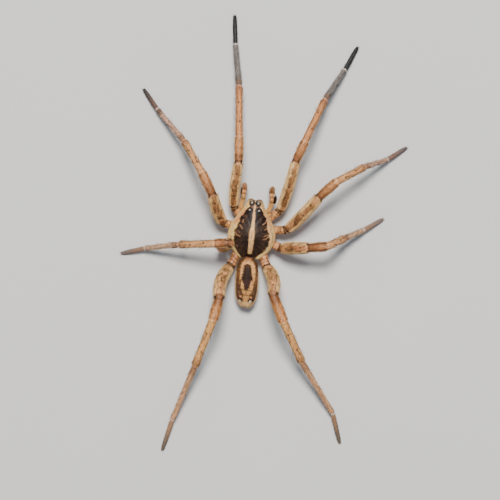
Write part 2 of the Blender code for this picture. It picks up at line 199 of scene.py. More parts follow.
# %% [markdown]
# One way to make every surface
#
# Every piece is a grid of points worked out at once by numpy. A closed tube or ball has rings of
# points, and a single point at each end closes it. Two things are stored on the points: "Marks", the
# colour there, and "Lie", the place on the piece as if a leg were pulled straight, which lets a
# material draw fine streaks that follow the leg.

# %% Turn arrays into a mesh
def new_piece(name, points, faces, marks, lie, finish, bake_map=None):
    """A mesh object from arrays in millimetres, with its colours, lie and finish on it."""
    mesh = bpy.data.meshes.new(name)
    corners = np.concatenate([kind.ravel() for kind in faces]).astype(np.int32)
    sizes = np.concatenate([np.full(len(kind), kind.shape[1]) for kind in faces])
    mesh.vertices.add(len(points))
    mesh.vertices.foreach_set("co", ((points + BODY_AT) * MM).astype(np.float32).ravel())
    mesh.loops.add(len(corners))
    mesh.loops.foreach_set("vertex_index", corners)
    mesh.polygons.add(len(sizes))
    mesh.polygons.foreach_set("loop_start", (np.cumsum(sizes) - sizes).astype(np.int32))
    mesh.update(calc_edges=True)
    tint = mesh.color_attributes.new("Marks", "FLOAT_COLOR", "POINT")
    tint.data.foreach_set("color", np.column_stack([marks, np.ones(len(marks))]).astype(np.float32).ravel())
    if lie is not None:
        place = mesh.attributes.new("Lie", "FLOAT_VECTOR", "POINT")
        place.data.foreach_set("vector", lie.astype(np.float32).ravel())
    if bake_map is not None:
        layer = mesh.uv_layers.new(name="OFBake")
        layer.data.foreach_set("uv", bake_map[corners].astype(np.float32).ravel())
    mesh.shade_smooth()
    mesh.materials.append(finish)
    piece = bpy.data.objects.new(name, mesh)
    bpy.context.scene.collection.objects.link(piece)
    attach(piece, "root")
    return piece


def ring_faces(rings, around):
    """Faces of a closed grid: quads between rings and a fan from a last point at each end."""
    row, column = np.meshgrid(np.arange(rings - 1), np.arange(around), indexing="ij")
    after = (column + 1) % around
    quads = np.stack([row * around + column, row * around + after, (row + 1) * around + after,
                      (row + 1) * around + column], axis=-1).reshape(-1, 4)
    turn = np.arange(around)
    first = rings * around
    start = np.column_stack([np.full(around, first), (turn + 1) % around, turn])
    final = (rings - 1) * around
    end = np.column_stack([np.full(around, first + 1), final + turn, final + (turn + 1) % around])
    return quads, np.vstack([start, end])


def close_ends(grid):
    """Rings of points as one list, with the middle of the first ring and of the last one added."""
    return np.vstack([grid.reshape(-1, 3), grid[0].mean(axis=0), grid[-1].mean(axis=0)])


def closed_piece(name, grid, colour, finish):
    """A closed form from its rings, coloured by a function of its points. Its lie is where it is."""
    points = close_ends(grid)
    return new_piece(name, points, ring_faces(*grid.shape[:2]), colour(points), points, finish)


print("faces of a small ball:", sum(len(kind) for kind in ring_faces(8, 12)))

# %% [markdown]
# Finishes
#
# Spider skin is a thin, slightly glossy shell, finely pitted and covered by hairs that lie flat. The
# finish takes its colour from the marks, breaks it up with two noises, and turns the streaks that lie
# along the leg into a small bump. Hairs have a finish of their own, a little softer.

# %% Make the finishes
def set_inputs(node, **values):
    """Sets a node's inputs by their names, with an underscore for each space."""
    for key, value in values.items():
        node.inputs[key.replace("_", " ")].default_value = value
    return node


def new_finish(name, **values):
    """A new material, its node tree and its shader with these inputs set."""
    finish = bpy.data.materials.new(name)
    finish.use_nodes = True
    tree = finish.node_tree
    return finish, tree, set_inputs(tree.nodes["Principled BSDF"], **values)


def new_node(tree, kind, **values):
    """A node of this kind, its named inputs set."""
    return set_inputs(tree.nodes.new("ShaderNode" + kind), **values)


def stored(tree, name):
    """The output that reads what the points store under this name."""
    node = tree.nodes.new("ShaderNodeAttribute")
    node.attribute_name = name
    return node.outputs["Color" if name == "Marks" else "Vector"]


def vector_math(tree, operation):
    """A node that does this sum on colours or vectors."""
    node = tree.nodes.new("ShaderNodeVectorMath")
    node.operation = operation
    return node


def two_tones(tree, places, colours):
    """A ramp from one colour to another between two places."""
    node = tree.nodes.new("ShaderNodeValToRGB")
    for end, place, colour in zip(node.color_ramp.elements, places, colours):
        end.position = place
        end.color = colour
    return node


def link_all(tree, pairs):
    """Joins each output socket to its input socket."""
    for output, target in pairs:
        tree.links.new(output, target)


def skin_finish(name, roughness, bump, streak=(9.0, 9.0, 2.2)):
    """Skin: marks broken up by streaks and pits that follow the lie, with a matching bump."""
    finish, tree, shader = new_finish(name, Specular_IOR_Level=0.28)
    lie = stored(tree, "Lie")
    along = new_node(tree, "Mapping", Scale=streak)
    hairs = new_node(tree, "TexNoise", Scale=1.6, Detail=5.0, Roughness=0.6)
    pits = new_node(tree, "TexVoronoi", Scale=11.0)
    tone = new_node(tree, "MapRange", From_Min=0.3, From_Max=0.7, To_Min=0.72, To_Max=1.22)
    shade = vector_math(tree, "SCALE")
    gloss = new_node(tree, "MapRange", To_Min=roughness - 0.10, To_Max=roughness + 0.14)
    relief = tree.nodes.new("ShaderNodeMath")
    relief.operation = "MULTIPLY_ADD"
    relief.inputs[1].default_value = 0.35
    hill = new_node(tree, "Bump", Strength=bump, Distance=0.00003)
    link_all(tree, [
        (lie, along.inputs["Vector"]),
        (along.outputs["Vector"], hairs.inputs["Vector"]),
        (lie, pits.inputs["Vector"]),
        (hairs.outputs["Fac"], tone.inputs["Value"]),
        (stored(tree, "Marks"), shade.inputs[0]),
        (tone.outputs["Result"], shade.inputs["Scale"]),
        (shade.outputs["Vector"], shader.inputs["Base Color"]),
        (hairs.outputs["Fac"], gloss.inputs["Value"]),
        (gloss.outputs["Result"], shader.inputs["Roughness"]),
        (pits.outputs["Distance"], relief.inputs[0]),
        (hairs.outputs["Fac"], relief.inputs[2]),
        (relief.outputs["Value"], hill.inputs["Height"]),
        (hill.outputs["Normal"], shader.inputs["Normal"]),
    ])
    return finish


def hair_finish(name, roughness):
    """Hair: the marks' colour, a little uneven from hair to hair, and softly shining."""
    finish, tree, shader = new_finish(name, Specular_IOR_Level=0.26)
    place = tree.nodes.new("ShaderNodeTexCoord")
    cloud = new_node(tree, "TexNoise", Scale=6000.0, Detail=2.0)
    tone = new_node(tree, "MapRange", To_Min=0.8, To_Max=1.2)
    gloss = new_node(tree, "MapRange", To_Min=roughness - 0.08, To_Max=roughness + 0.08)
    shade = vector_math(tree, "SCALE")
    link_all(tree, [
        (place.outputs["Object"], cloud.inputs["Vector"]),
        (cloud.outputs["Fac"], tone.inputs["Value"]),
        (cloud.outputs["Fac"], gloss.inputs["Value"]),
        (stored(tree, "Marks"), shade.inputs[0]),
        (tone.outputs["Result"], shade.inputs["Scale"]),
        (shade.outputs["Vector"], shader.inputs["Base Color"]),
        (gloss.outputs["Result"], shader.inputs["Roughness"]),
    ])
    return finish


LIMB_FINISH = skin_finish("limb_skin", 0.44, 0.5)
SHIELD_FINISH = skin_finish("shield_skin", 0.50, 0.45, streak=(6.0, 6.0, 6.0))
BELLY_FINISH = skin_finish("abdomen_skin", 0.62, 0.8, streak=(7.0, 2.5, 7.0))
JAW_FINISH = skin_finish("jaw_shell", 0.34, 0.5, streak=(6.0, 6.0, 2.0))
HAIR_FINISH = hair_finish("coat_hair", 0.52)
SPINE_FINISH = hair_finish("spine_horn", 0.30)
print("finishes:", [made.name for made in (LIMB_FINISH, SHIELD_FINISH, BELLY_FINISH, JAW_FINISH)])

# %% [markdown]
# Guides for limbs
#
# A leg is one skin from the body to its claws, so no seam shows at its joints. Its middle line runs
# through the joints, and the corners are rounded by averaging each point with its neighbours. A
# second number, the piece number, counts the seven pieces of the leg: 2.5 is the middle of the femur.
# Radii, marks and hairs are all given by that number.

# %% Work out a limb's middle line and its directions
SAMPLES_PER_ROUNDING = 8
ROUNDING = 0.24


def averaged(values, width):
    """Each value averaged with its neighbours by a bell curve of this width in samples."""
    reach = int(3 * width) + 1
    bell = np.exp(-0.5 * (np.arange(-reach, reach + 1) / width) ** 2)
    bell /= bell.sum()
    longer = np.concatenate([2 * values[0] - values[reach:0:-1], values,
                             2 * values[-1] - values[-2:-reach - 2:-1]])
    return np.convolve(longer, bell, mode="valid")


def unit(vectors):
    """Each vector at length one."""
    return vectors / np.linalg.norm(vectors, axis=-1, keepdims=True)


def limb_guide(knots, numbers, heading, rounding=ROUNDING):
    """A limb's middle line: points at even steps, rounded at the corners, with the direction along,
    the one to the right and the one to the back of the limb, and the piece number at each point."""
    knots = np.array(knots, dtype=float)
    reach = np.concatenate([[0.0], np.cumsum(np.linalg.norm(np.diff(knots, axis=0), axis=1))])
    at = np.linspace(0.0, reach[-1], int(reach[-1] / rounding * SAMPLES_PER_ROUNDING))
    middle = np.column_stack([averaged(np.interp(at, reach, knots[:, axis]), SAMPLES_PER_ROUNDING)
                              for axis in range(3)])
    along = unit(np.gradient(middle, axis=0))
    right = np.cross(heading, [0.0, 0.0, 1.0])
    side = unit(right - (along @ right)[:, None] * along)
    return {"at": at, "middle": middle, "along": along, "side": side, "back": np.cross(side, along),
            "number": np.interp(at, reach, numbers), "length": reach[-1]}


def read_guide(guide, key, at):
    """One of the guide's rows of vectors or numbers, read at these distances along it."""
    values = guide[key]
    if values.ndim == 1:
        return np.interp(at, guide["at"], values)
    return np.column_stack([np.interp(at, guide["at"], values[:, axis]) for axis in range(3)])


def distance_at(guide, number):
    """How far along the guide a piece number lies."""
    return np.interp(number, guide["number"], guide["at"])


def limb_point(guide, at, angle):
    """Points on the limb, the middle plus the radius towards the angle, and the outward directions.
    The angle is 0 at the limb's back."""
    outward = (np.cos(angle)[:, None] * read_guide(guide, "back", at)
               + np.sin(angle)[:, None] * read_guide(guide, "side", at))
    radius = read_guide(guide, "radius", at)
    return read_guide(guide, "middle", at) + radius[:, None] * outward, unit(outward)


def pulled_straight(guide, at, angle):
    """The place of a point if the limb were pulled straight."""
    radius = read_guide(guide, "radius", at)
    return np.column_stack([radius * np.sin(angle), radius * np.cos(angle), at])


def limb_skin(name, guide, colour, finish, around=40, spacing=0.06):
    """A closed tube round the guide, with its colours and its lie."""
    rings = int(guide["length"] / spacing)
    at = np.repeat(np.linspace(0.0, guide["length"], rings), around)
    angle = np.tile(np.linspace(-math.pi, math.pi, around, endpoint=False), rings)
    points = limb_point(guide, at, angle)[0]
    points[:, 2] = np.maximum(points[:, 2], 0.0)
    rows = points, colour(guide, at, angle), pulled_straight(guide, at, angle)
    points, marks, lie = [close_ends(values.reshape(rings, around, 3)) for values in rows]
    return new_piece(name, points, ring_faces(rings, around), marks, lie, finish)


test_guide = limb_guide([(0, 0, 0), (0, 3, 0), (0, 3, -3)], [0, 1, 2], (0.0, 1.0, 0.0))
print("points along a bent limb of 6 mm:", len(test_guide["at"]))

# %% [markdown]
# The eight legs
#
# The pose comes from the frame's solids: where the femur starts, then each piece's heading seen from
# above, how far it reaches, and how high its joints are. The skin lies inside the solids by the
# depth of the coat.

# %% Pose and thickness of the legs
HIP_ROOT = [(1.00, 0.92), (1.18, 0.03), (1.18, -0.88), (0.96, -1.78)]
HIP_ROOT_Z = 1.66
HIP_SHARE = 0.70
FEMUR_START_Z = 2.0
FEMUR_BOW = [0.12, 0.10, 0.0, 0.42]
FEMUR_ARCH = 0.22
FEMUR_KNOTS = 9
TIP_Z = 0.10
# Where the femur starts, headings in degrees and reaches of its five pieces, heights of their joints
LEGS = {
    "left_1": ((-2.25, 2.13), (0, 5.5, 6.5, 11.5, 8), (4.77, 2.70, 5.49, 4.56, 3.14),
              (4.6, 4.55, 2.2, 0.80)),
    "right_1": ((2.73, 2.25), (11, 18.5, 19, 27, 23), (5.55, 2.33, 4.97, 3.92, 2.84),
               (4.1, 4.75, 2.6, 0.80)),
    "left_2": ((-3.25, 0.32), (26, 32, 36, 46.5, 40.5), (3.18, 2.56, 3.92, 4.53, 2.64),
              (5.0, 5.2, 3.0, 0.80)),
    "right_2": ((3.68, 0.31), (38, 42, 55.5, 65, 52), (4.90, 2.43, 3.48, 2.59, 2.48),
               (4.5, 5.15, 3.5, 0.80)),
    "left_3": ((-3.16, -2.33), (-58, 99, 98, 102.5, 108.5), (1.07, 1.52, 3.91, 3.66, 2.62),
               (5.3, 5.0, 3.3, 0.85)),
    "right_3": ((3.29, -1.71), (82.5, 79, 59, 60.5, 54), (2.96, 1.96, 2.0, 2.32, 2.43),
               (4.4, 5.0, 2.4, 0.80)),
    "left_4": ((-1.92, -4.25), (168, 170.5, 165, 163.5, 168.5), (3.62, 2.32, 5.36, 6.33, 3.44),
               (5.2, 5.8, 3.4, 0.80)),
    "right_4": ((2.01, -3.92), (161, 152, 149, 142.5, 160.5), (2.99, 3.06, 4.79, 6.51, 3.27),
                (5.3, 5.75, 3.2, 0.80)),
}
# Radius of the skin for the four pairs, piece by piece: two of the hip, femur, knee, shin, shank, toe
PIECE_RADIUS = [(0.43, 0.45, 0.45, 0.49), (0.43, 0.46, 0.46, 0.50), (0.525, 0.59, 0.61, 0.65),
                (0.435, 0.465, 0.465, 0.515), (0.335, 0.345, 0.36, 0.385), (0.235, 0.24, 0.25, 0.265),
                (0.21, 0.20, 0.20, 0.215)]
# The form of each piece: shares of its length, and shares of its radius there
PIECE_FORM = [
    ((0.0, 0.2, 0.6, 1.0), (0.80, 0.97, 1.0, 0.94)),
    ((0.0, 0.5, 1.0), (0.94, 1.0, 0.94)),
    ((0.0, 0.05, 0.14, 0.34, 0.62, 0.86, 0.95, 1.0), (0.80, 0.86, 0.92, 0.98, 0.95, 0.90, 0.87, 0.83)),
    ((0.0, 0.10, 0.35, 0.70, 0.93, 1.0), (0.96, 1.0, 1.03, 1.04, 1.04, 0.98)),
    ((0.0, 0.08, 0.35, 0.72, 0.86, 0.95, 1.0), (1.14, 1.12, 1.02, 0.96, 1.10, 1.08, 0.86)),
    ((0.0, 0.06, 0.15, 0.50, 0.85, 0.95, 1.0), (1.02, 1.22, 1.14, 1.0, 0.95, 1.0, 0.86)),
    ((0.0, 0.08, 0.45, 0.80, 0.94, 1.0), (0.90, 1.04, 1.04, 0.98, 0.86, 0.52)),
]
JUST_BEFORE_NEXT = 0.9998
FORM_SOFTNESS = 0.09
JOINT_DIP = 0.10
JOINT_DIP_WIDTH = 0.07


def side_and_pair(name):
    """A leg's side, -1 or 1, and its pair, 0 to 3, from its name."""
    side, pair = name.split("_")
    return SIDES[side], int(pair) - 1


def leg_radius(guide, pair):
    """Radius along a leg: each piece's form, softened, with a shallow crease at every joint."""
    number, at = guide["number"], guide["at"]
    marks = [np.array(shares) * JUST_BEFORE_NEXT + piece for piece, (shares, _) in enumerate(PIECE_FORM)]
    sizes = [np.array(form) * radius[pair] for radius, (_, form) in zip(PIECE_RADIUS, PIECE_FORM)]
    radius = averaged(np.interp(number, np.concatenate(marks), np.concatenate(sizes)),
                      FORM_SOFTNESS / ROUNDING * SAMPLES_PER_ROUNDING)
    for joint in range(1, 7):
        gap = at - distance_at(guide, joint)
        radius = radius * (1.0 - JOINT_DIP * np.exp(-(gap / JOINT_DIP_WIDTH) ** 2))
    return radius


def leg_guide(name):
    """The middle line of one leg: hip, bowed femur and the straight pieces beyond the knee. The
    joints come from adding up the headings and reaches."""
    side, pair = side_and_pair(name)
    start, headings, reaches, heights = LEGS[name]
    turn = np.radians(headings)
    steps = np.array(reaches)[:, None] * np.column_stack([side * np.sin(turn), np.cos(turn)])
    plan = np.vstack([start, np.array(start) + np.cumsum(steps, axis=0)])
    joints = np.column_stack([plan, [FEMUR_START_Z, *heights, TIP_Z]])
    root = np.array([side * HIP_ROOT[pair][0], HIP_ROOT[pair][1], HIP_ROOT_Z])
    chord = joints[1] - joints[0]
    across = unit(np.array([chord[1], -chord[0], 0.0]))
    bow = FEMUR_BOW[pair] * across * side * math.copysign(1.0, across[0]) + [0.0, 0.0, FEMUR_ARCH]
    share = np.linspace(0.0, 1.0, FEMUR_KNOTS)[:, None]
    femur = joints[0] + share * chord + 4 * share * (1 - share) * bow
    knots = np.vstack([root, root + HIP_SHARE * (joints[0] - root), femur, joints[2:]])
    heading = unit((joints[3] - joints[0]) * [1.0, 1.0, 0.0])
    guide = limb_guide(knots, [0.0, 1.0, *(2.0 + share[:, 0]), 4.0, 5.0, 6.0, 7.0], heading)
    guide["radius"] = leg_radius(guide, pair)
    return guide


GUIDES = {name: leg_guide(name) for name in LEGS}
print("leg lengths, mm:", {name: round(guide["length"], 1) for name, guide in GUIDES.items()})

# %% [markdown]
# Marks of the legs
#
# Each mark is a soft spot or a soft edge, in piece numbers along the leg and in radians round it. The
# marks of a real leg are made of hairs, so two noises drawn out along the leg fray every mark.

# %% Read a leg's places
LEG_SEED = 100


class LegPlaces:
    """Where points lie on a leg: the piece and the share of its length, the angle from the back, and
    two noises, one of patches and one fine, that follow the skin."""

    def __init__(self, name, guide, at, angle):
        self.name = name
        self.outer, self.pair = side_and_pair(name)
        self.guide, self.at, self.angle = guide, at, angle
        self.turned = np.abs(angle)
        self.number = read_guide(guide, "number", at)
        self.radius = read_guide(guide, "radius", at)
        self.piece = np.floor(self.number)
        self.share = self.number - self.piece
        self.patch = self.noise(0.9, 0, 0.7)
        self.fine = self.noise(0.22, 1, 0.6)

    def noise(self, size, shift, along=1.0, across=1.0):
        """Cloudy noise, another for each leg and shift, drawn out where along or across is below 1."""
        place = pulled_straight(self.guide, self.at, self.angle) * [across, across, along]
        return mottle(place, size, LEG_SEED + 10 * self.pair + 5 * (self.outer < 0) + shift)


print("pieces of a leg:", len(PIECE_FORM))

# %% [markdown]
# Hips and thighs
#
# The thighs carry a mottled brown stripe along their back between cream sides. The four pairs differ
# in how dark the stripe is and how broken, so those strengths stand in tables.

# %% Paint the hips and the thighs
# Thigh at its start and its end, for each pair
THIGH_TINTS = [((152, 108, 70), (184, 148, 106)), ((148, 102, 70), (180, 140, 96)),
               ((174, 132, 90), (202, 156, 116)), ((186, 154, 110), (196, 160, 120))]
# How strong the thigh's pale blotches, fine dapples, borders and large blots are on each pair
BLOTCHES = [0.25, 0.35, 0.45, 0.50]
DAPPLES = [0.50, 0.55, 0.50, 0.50]
BORDERS = [0.40, 0.45, 0.50, 0.65]
BLOTS = [0.0, 0.15, 0.35, 0.55]
# Legs that differ from their pair: the turn of the stripe, and how dark the knee's edge is
STRIPE_LEAN = {"right_1": 0.28}
KNEE_EDGE = {"left_2": 0.4, "left_3": 0.5, "left_4": 0.9, "right_4": 0.75}


def paint_hip(skin, leg):
    """Hip: pale, with brown dots."""
    hip = leg.number < 2
    turned = leg.turned
    tint = (196, 158, 108) if leg.pair < 2 else (200, 158, 120)
    skin.lay(tint, hip * (0.75 + 0.25 * step(leg.patch, 0.0, 0.8)))
    shade = step(leg.fine + 0.4 * leg.patch, 0.30, 0.5) * (0.70 - 0.40 * step(turned, 1.8, 0.8))
    skin.lay((132, 88, 56), hip * shade)
    dots = spot(np.hypot((leg.number - 1.5) * 1.6, (turned - 0.85) * leg.radius), 0.13, 0.6)
    skin.lay((78, 50, 38), hip * dots * (0.8 - 0.5 * (leg.pair > 1)))


def paint_thigh(skin, leg):
    """Thigh: a mottled stripe on the back, cream sides, a brown line low on each side."""
    femur = leg.piece == 2
    pair, share, turned, patch, fine = leg.pair, leg.share, leg.turned, leg.patch, leg.fine
    skin.lay((244, 230, 200), femur * 0.95)
    edge = 0.62 + 0.10 * (pair == 3) + 0.12 * patch + 0.10 * fine - 0.08 * step(share, 0.75, 0.3)
    on_back = spot(leg.angle - STRIPE_LEAN.get(leg.name, 0.0), edge, 0.30) * femur
    first, last = [paint(*tint) for tint in THIGH_TINTS[pair]]
    skin.lay(first + (last - first) * step(share, 0.62, 0.6)[:, None], on_back)
    skin.lay((190, 150, 104), on_back * step(-fine, 0.1, 0.6) * 0.5)
    grain = leg.noise(0.17, 4, 0.30)
    dapple = step(grain + 0.35 * patch, 0.20, 0.4) * (0.9 - 0.3 * step(share, 0.7, 0.4))
    skin.lay((98, 64, 46), on_back * dapple * DAPPLES[pair])
    blot = step(leg.noise(0.55, 7, 0.8), 0.10, 0.4) * spot(share, 0.70, 0.5)
    skin.lay((116, 80, 50), blot * femur * spot(turned, 1.35, 0.3) * BLOTS[pair])
    border = spot(turned - edge + 0.04, 0.10, 1.0) * step(fine + patch, -0.45, 0.6)
    skin.lay((104, 68, 44), border * femur * BORDERS[pair])
    skin.lay((212, 180, 138), on_back * step(leg.noise(0.8, 2, 1.0, 0.9), 0.25, 0.4) * BLOTCHES[pair])
    side_line = spot(turned - 1.25 - 0.1 * patch, 0.13, 1.0) * step(fine, -0.1, 0.6)
    skin.lay((156, 114, 78), side_line * femur * 0.35)
    skin.lay((200, 162, 122), step(turned, 1.9, 0.5) * femur * 0.9)
    # A dark patch on the inner side of the front thighs: partly their own, partly painted shade of the gap.
    inner_patch_and_shade = spot((leg.angle + leg.outer * 1.75) / 0.55, 1.0, 0.5) * spot(share - 0.28, 0.14, 0.6)
    skin.lay((70, 50, 42), inner_patch_and_shade * femur * (pair == 0) * 0.9)
    skin.lay((138, 84, 54), femur * step(share, 0.93, 0.06) * KNEE_EDGE.get(leg.name, 0.0))


print("thigh at its start, linear light:", [paint(*first).round(2).tolist() for first, _ in THIGH_TINTS])

# %% [markdown]
# Knees, shins and feet
#
# The knees are the reddest, the shins are tan with a brown outline, and the front feet end in grey
# and black.

# %% Paint the knees, the shins and the feet
KNEE_TINTS = [(190, 144, 102), (188, 140, 98), (168, 108, 72), (192, 140, 76)]
SHIN_TINTS = [(194, 146, 104), (200, 168, 130), (216, 188, 150), (212, 182, 124)]
SHANK_TINTS = [(160, 152, 148), (194, 168, 152), (196, 172, 150), (198, 168, 138)]
# Toe at its start and its tip, for each pair, and the legs whose toes are paler or darker than these
TOE_TINTS = [((76, 75, 74), (68, 68, 67)), ((146, 116, 108), (124, 110, 108)),
             ((174, 144, 126), (154, 138, 132)), ((168, 136, 112), (136, 122, 110))]
FOOT_SHADE = {"left_2": (0.85, 0.60), "right_2": (1.40, 1.40), "left_4": (1.20, 1.0)}


def paint_knee_and_shin(skin, leg):
    """Knee and shin: pale along the middle, outlined in brown, with painted highlights along the top."""
    on_knee, on_shin = leg.piece == 3, leg.piece == 4
    upper = on_knee | on_shin
    share, turned, patch, fine = leg.share, leg.turned, leg.patch, leg.fine
    skin.lay(KNEE_TINTS[leg.pair], on_knee)
    # The outer knee is paler along its top: partly its pale tan end, partly a painted highlight.
    skin.lay((200, 162, 122), on_knee * step(share, 0.60, 0.3) * spot(turned, 0.6) * 0.6)
    skin.lay((142, 88, 58), on_knee * step(0.34 - share, 0.0, 0.24) * (0.70 + 0.30 * step(fine, 0.0, 0.8)))
    skin.lay((150, 88, 48), on_knee * spot(share, 0.36, 0.6) * 0.7 * (leg.pair == 3))
    skin.lay(SHIN_TINTS[leg.pair], on_shin)
    skin.lay((174, 130, 104), on_shin * step(share, 0.80, 0.16) * 0.6)
    outline = spot(turned - 1.08 - 0.10 * patch, 0.26, 0.8) * step(fine + 0.5 * patch, -0.25, 0.6)
    skin.lay((124, 84, 56), outline * upper * (0.70 - 0.25 * on_knee))
    skin.lay((216, 184, 148), spot(turned - 1.65, 0.28, 0.6) * upper * 0.7)
    skin.lay((192, 150, 112), step(turned, 2.0, 0.5) * upper * 0.8)
    skin.lay((138, 98, 66), step(fine + 0.6 * patch, 0.30, 0.5) * upper * 0.45)
    speck = step(leg.noise(0.15, 5, 0.8), 0.55, 0.3) * upper * spot(turned, 1.7)
    skin.lay((104, 70, 50), speck * 0.6)
    # A painted highlight along the top of the knee and the shin.
    painted_highlight = upper * spot(turned, 0.5, 0.9) * spot(share - 0.45, 0.4, 0.5)
    skin.lay((226, 194, 150), painted_highlight * (0.15 + 0.30 * on_shin))


def paint_foot(skin, leg):
    """Foot: the streaked shank, redder at its root and dark at its end on one leg, and the toe."""
    on_shank = leg.piece == 5
    share = leg.share
    skin.lay(SHANK_TINTS[leg.pair], on_shank)
    skin.lay((96, 84, 78), on_shank * step(leg.noise(0.20, 3, 0.35), 0.15, 0.5) * 0.45)
    skin.lay((160, 118, 88), on_shank * step(0.16 - share, 0.0, 0.12) * 0.6)
    skin.lay((96, 82, 76), on_shank * step(share, 0.84, 0.10) * 0.7 * (leg.name == "left_2"))
    shades = FOOT_SHADE.get(leg.name, (1.0, 1.0))
    toe, tip = [paint(*tint) * shade for tint, shade in zip(TOE_TINTS[leg.pair], shades)]
    skin.lay(toe + (tip - toe) * step(share, 0.5, 0.7)[:, None], leg.piece >= 6)


print("legs with toes of their own:", list(FOOT_SHADE))

# %% [markdown]
# Joints and spines
#
# At each joint thin skin shows as a pale lining beside dark rings, which are broadest at the roots of
# the thighs. The knees have a dark spot on each side, and a small dark dot shows where a spine stands.

# %% Paint the joints and the spines' dots
# Joint, tone and half width of its pale lining, tone and half width of its dark rings, their reach
JOINT_MARKS = [(1, 0.0, 0.09, 0.45, 0.07, 1.8), (2, 0.0, 0.09, 1.0, 0.12, 1.9),
               (3, 0.1, 0.09, 0.5, 0.06, 1.3), (4, 0.3, 0.09, 0.3, 0.06, 1.6),
               (5, 0.5, 0.09, 0.5, 0.06, 1.8), (6, 0.9, 0.065, 0.0, 0.06, 3.2)]
# The dark spots on the knee's sides: piece number and tone
KNEE_SPOTS = ((3.0, 0.95), (3.93, 0.55))
# Spines: piece number, angle from the back of the leg, length. Those off the back come in pairs
SPINE_ROWS = [(2.30, 0.0, 0.75), (2.52, 0.1, 0.85), (2.78, -0.1, 0.85), (2.45, 0.95, 0.7), (2.74, 1.0, 0.8),
              (2.93, 1.25, 0.55), (3.5, 1.35, 0.6), (4.28, 0.25, 0.9), (4.66, -0.2, 0.9), (4.32, 1.3, 1.0),
              (4.68, 1.35, 1.0), (4.16, 2.6, 0.95), (4.5, 2.6, 1.0), (4.92, 2.5, 0.6), (5.14, 1.2, 0.85),
              (5.52, 1.3, 0.8), (5.3, 2.6, 0.8), (5.93, 1.5, 0.4), (5.95, 2.7, 0.4)]
SPINES = [(number, angle * way, length) for number, angle, length in SPINE_ROWS
          for way in ((1.0, -1.0) if angle > 0.5 else (1.0,))]


def paint_joints(skin, leg):
    """Joints: a pale lining, thin dark rings beside it, and a dark spot on each side of the knee."""
    for joint, pale, lining, dark, width, reach in JOINT_MARKS:
        gap = leg.at - distance_at(leg.guide, joint)
        skin.lay((220, 186, 158) if joint < 6 else (220, 212, 206), spot(gap, lining) * pale)
        wavy = gap + 0.035 * leg.patch
        rim = spot(wavy - 0.19, width) + spot(wavy + 0.17, width) * (joint < 3)
        skin.lay(RING, rim * dark * spot(leg.turned, reach) * (0.75 + 0.25 * step(leg.fine, -0.4, 0.6)))
    for centre, dark in KNEE_SPOTS:
        gap = leg.at - distance_at(leg.guide, centre)
        near = np.hypot(gap / 0.19, (leg.turned - 1.05) * leg.radius / 0.17)
        skin.lay(RING, spot(near, 1.0, 0.6) * dark)


def paint_spine_dots(skin, leg):
    """A dark dot where each spine stands, with a pale one beyond it."""
    for foot, lean, _ in SPINES:
        along = leg.at - distance_at(leg.guide, foot)
        across = ((leg.angle - lean + math.pi) % (2 * math.pi) - math.pi) * leg.radius
        skin.lay((224, 200, 170), spot(np.hypot(along - 0.12, across), 0.07, 0.6) * (foot < 5) * 0.35)
        skin.lay((58, 38, 32), spot(np.hypot(along, across), 0.105, 0.6) * 0.95)


LEG_PAINTERS = (paint_hip, paint_thigh, paint_knee_and_shin, paint_foot, paint_joints, paint_spine_dots)


def leg_colour(name):
    """The colour of one leg at a distance along it and an angle round it."""
    def colour(guide, at, angle):
        leg = LegPlaces(name, guide, at, angle)
        skin = Paintwork(len(at), CREAM)
        for paint_part in LEG_PAINTERS:
            paint_part(skin, leg)
        return skin.finished()

    return colour


for name, guide in GUIDES.items():
    skin = limb_skin("leg_" + name, guide, leg_colour(name), LIMB_FINISH)
    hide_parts("hip_" + name, "femur_" + name, "tibia_" + name, "foot_" + name)
print("leg skins:", len(GUIDES), "and points of the last:", len(skin.data.vertices))

# %% [markdown]
# Hairs
#
# Each hair is a thin closed blade with three sides, bent once: seven points and ten triangles. It is
# rooted a little inside the skin, rises from it and bends back along the body's lie. All the hairs of
# a piece are made at once. The hairs' own map gives each a tiny patch at its root's place on the
# unrolled skin, so that a baked colour stays that hair's own.

# %% Make a coat from roots and directions
PATCH = 0.0015
MAP_MARGIN = 0.004
ROOT_DEPTH = 0.02
COAT_FLOOR = 0.004
HAIR_DARKEST = 0.002


def spread(count, seed):
    """Evenly scattered pairs of numbers from 0 to 1: a steady stride of irrational length, shaken."""
    draw = np.random.default_rng(seed)
    stride = np.arange(count)[:, None] * np.array([0.7548776662, 0.5698402910])
    return (stride + draw.uniform(0.0, 1.0, 2) + draw.normal(0.0, 0.003, (count, 2))) % 1.0


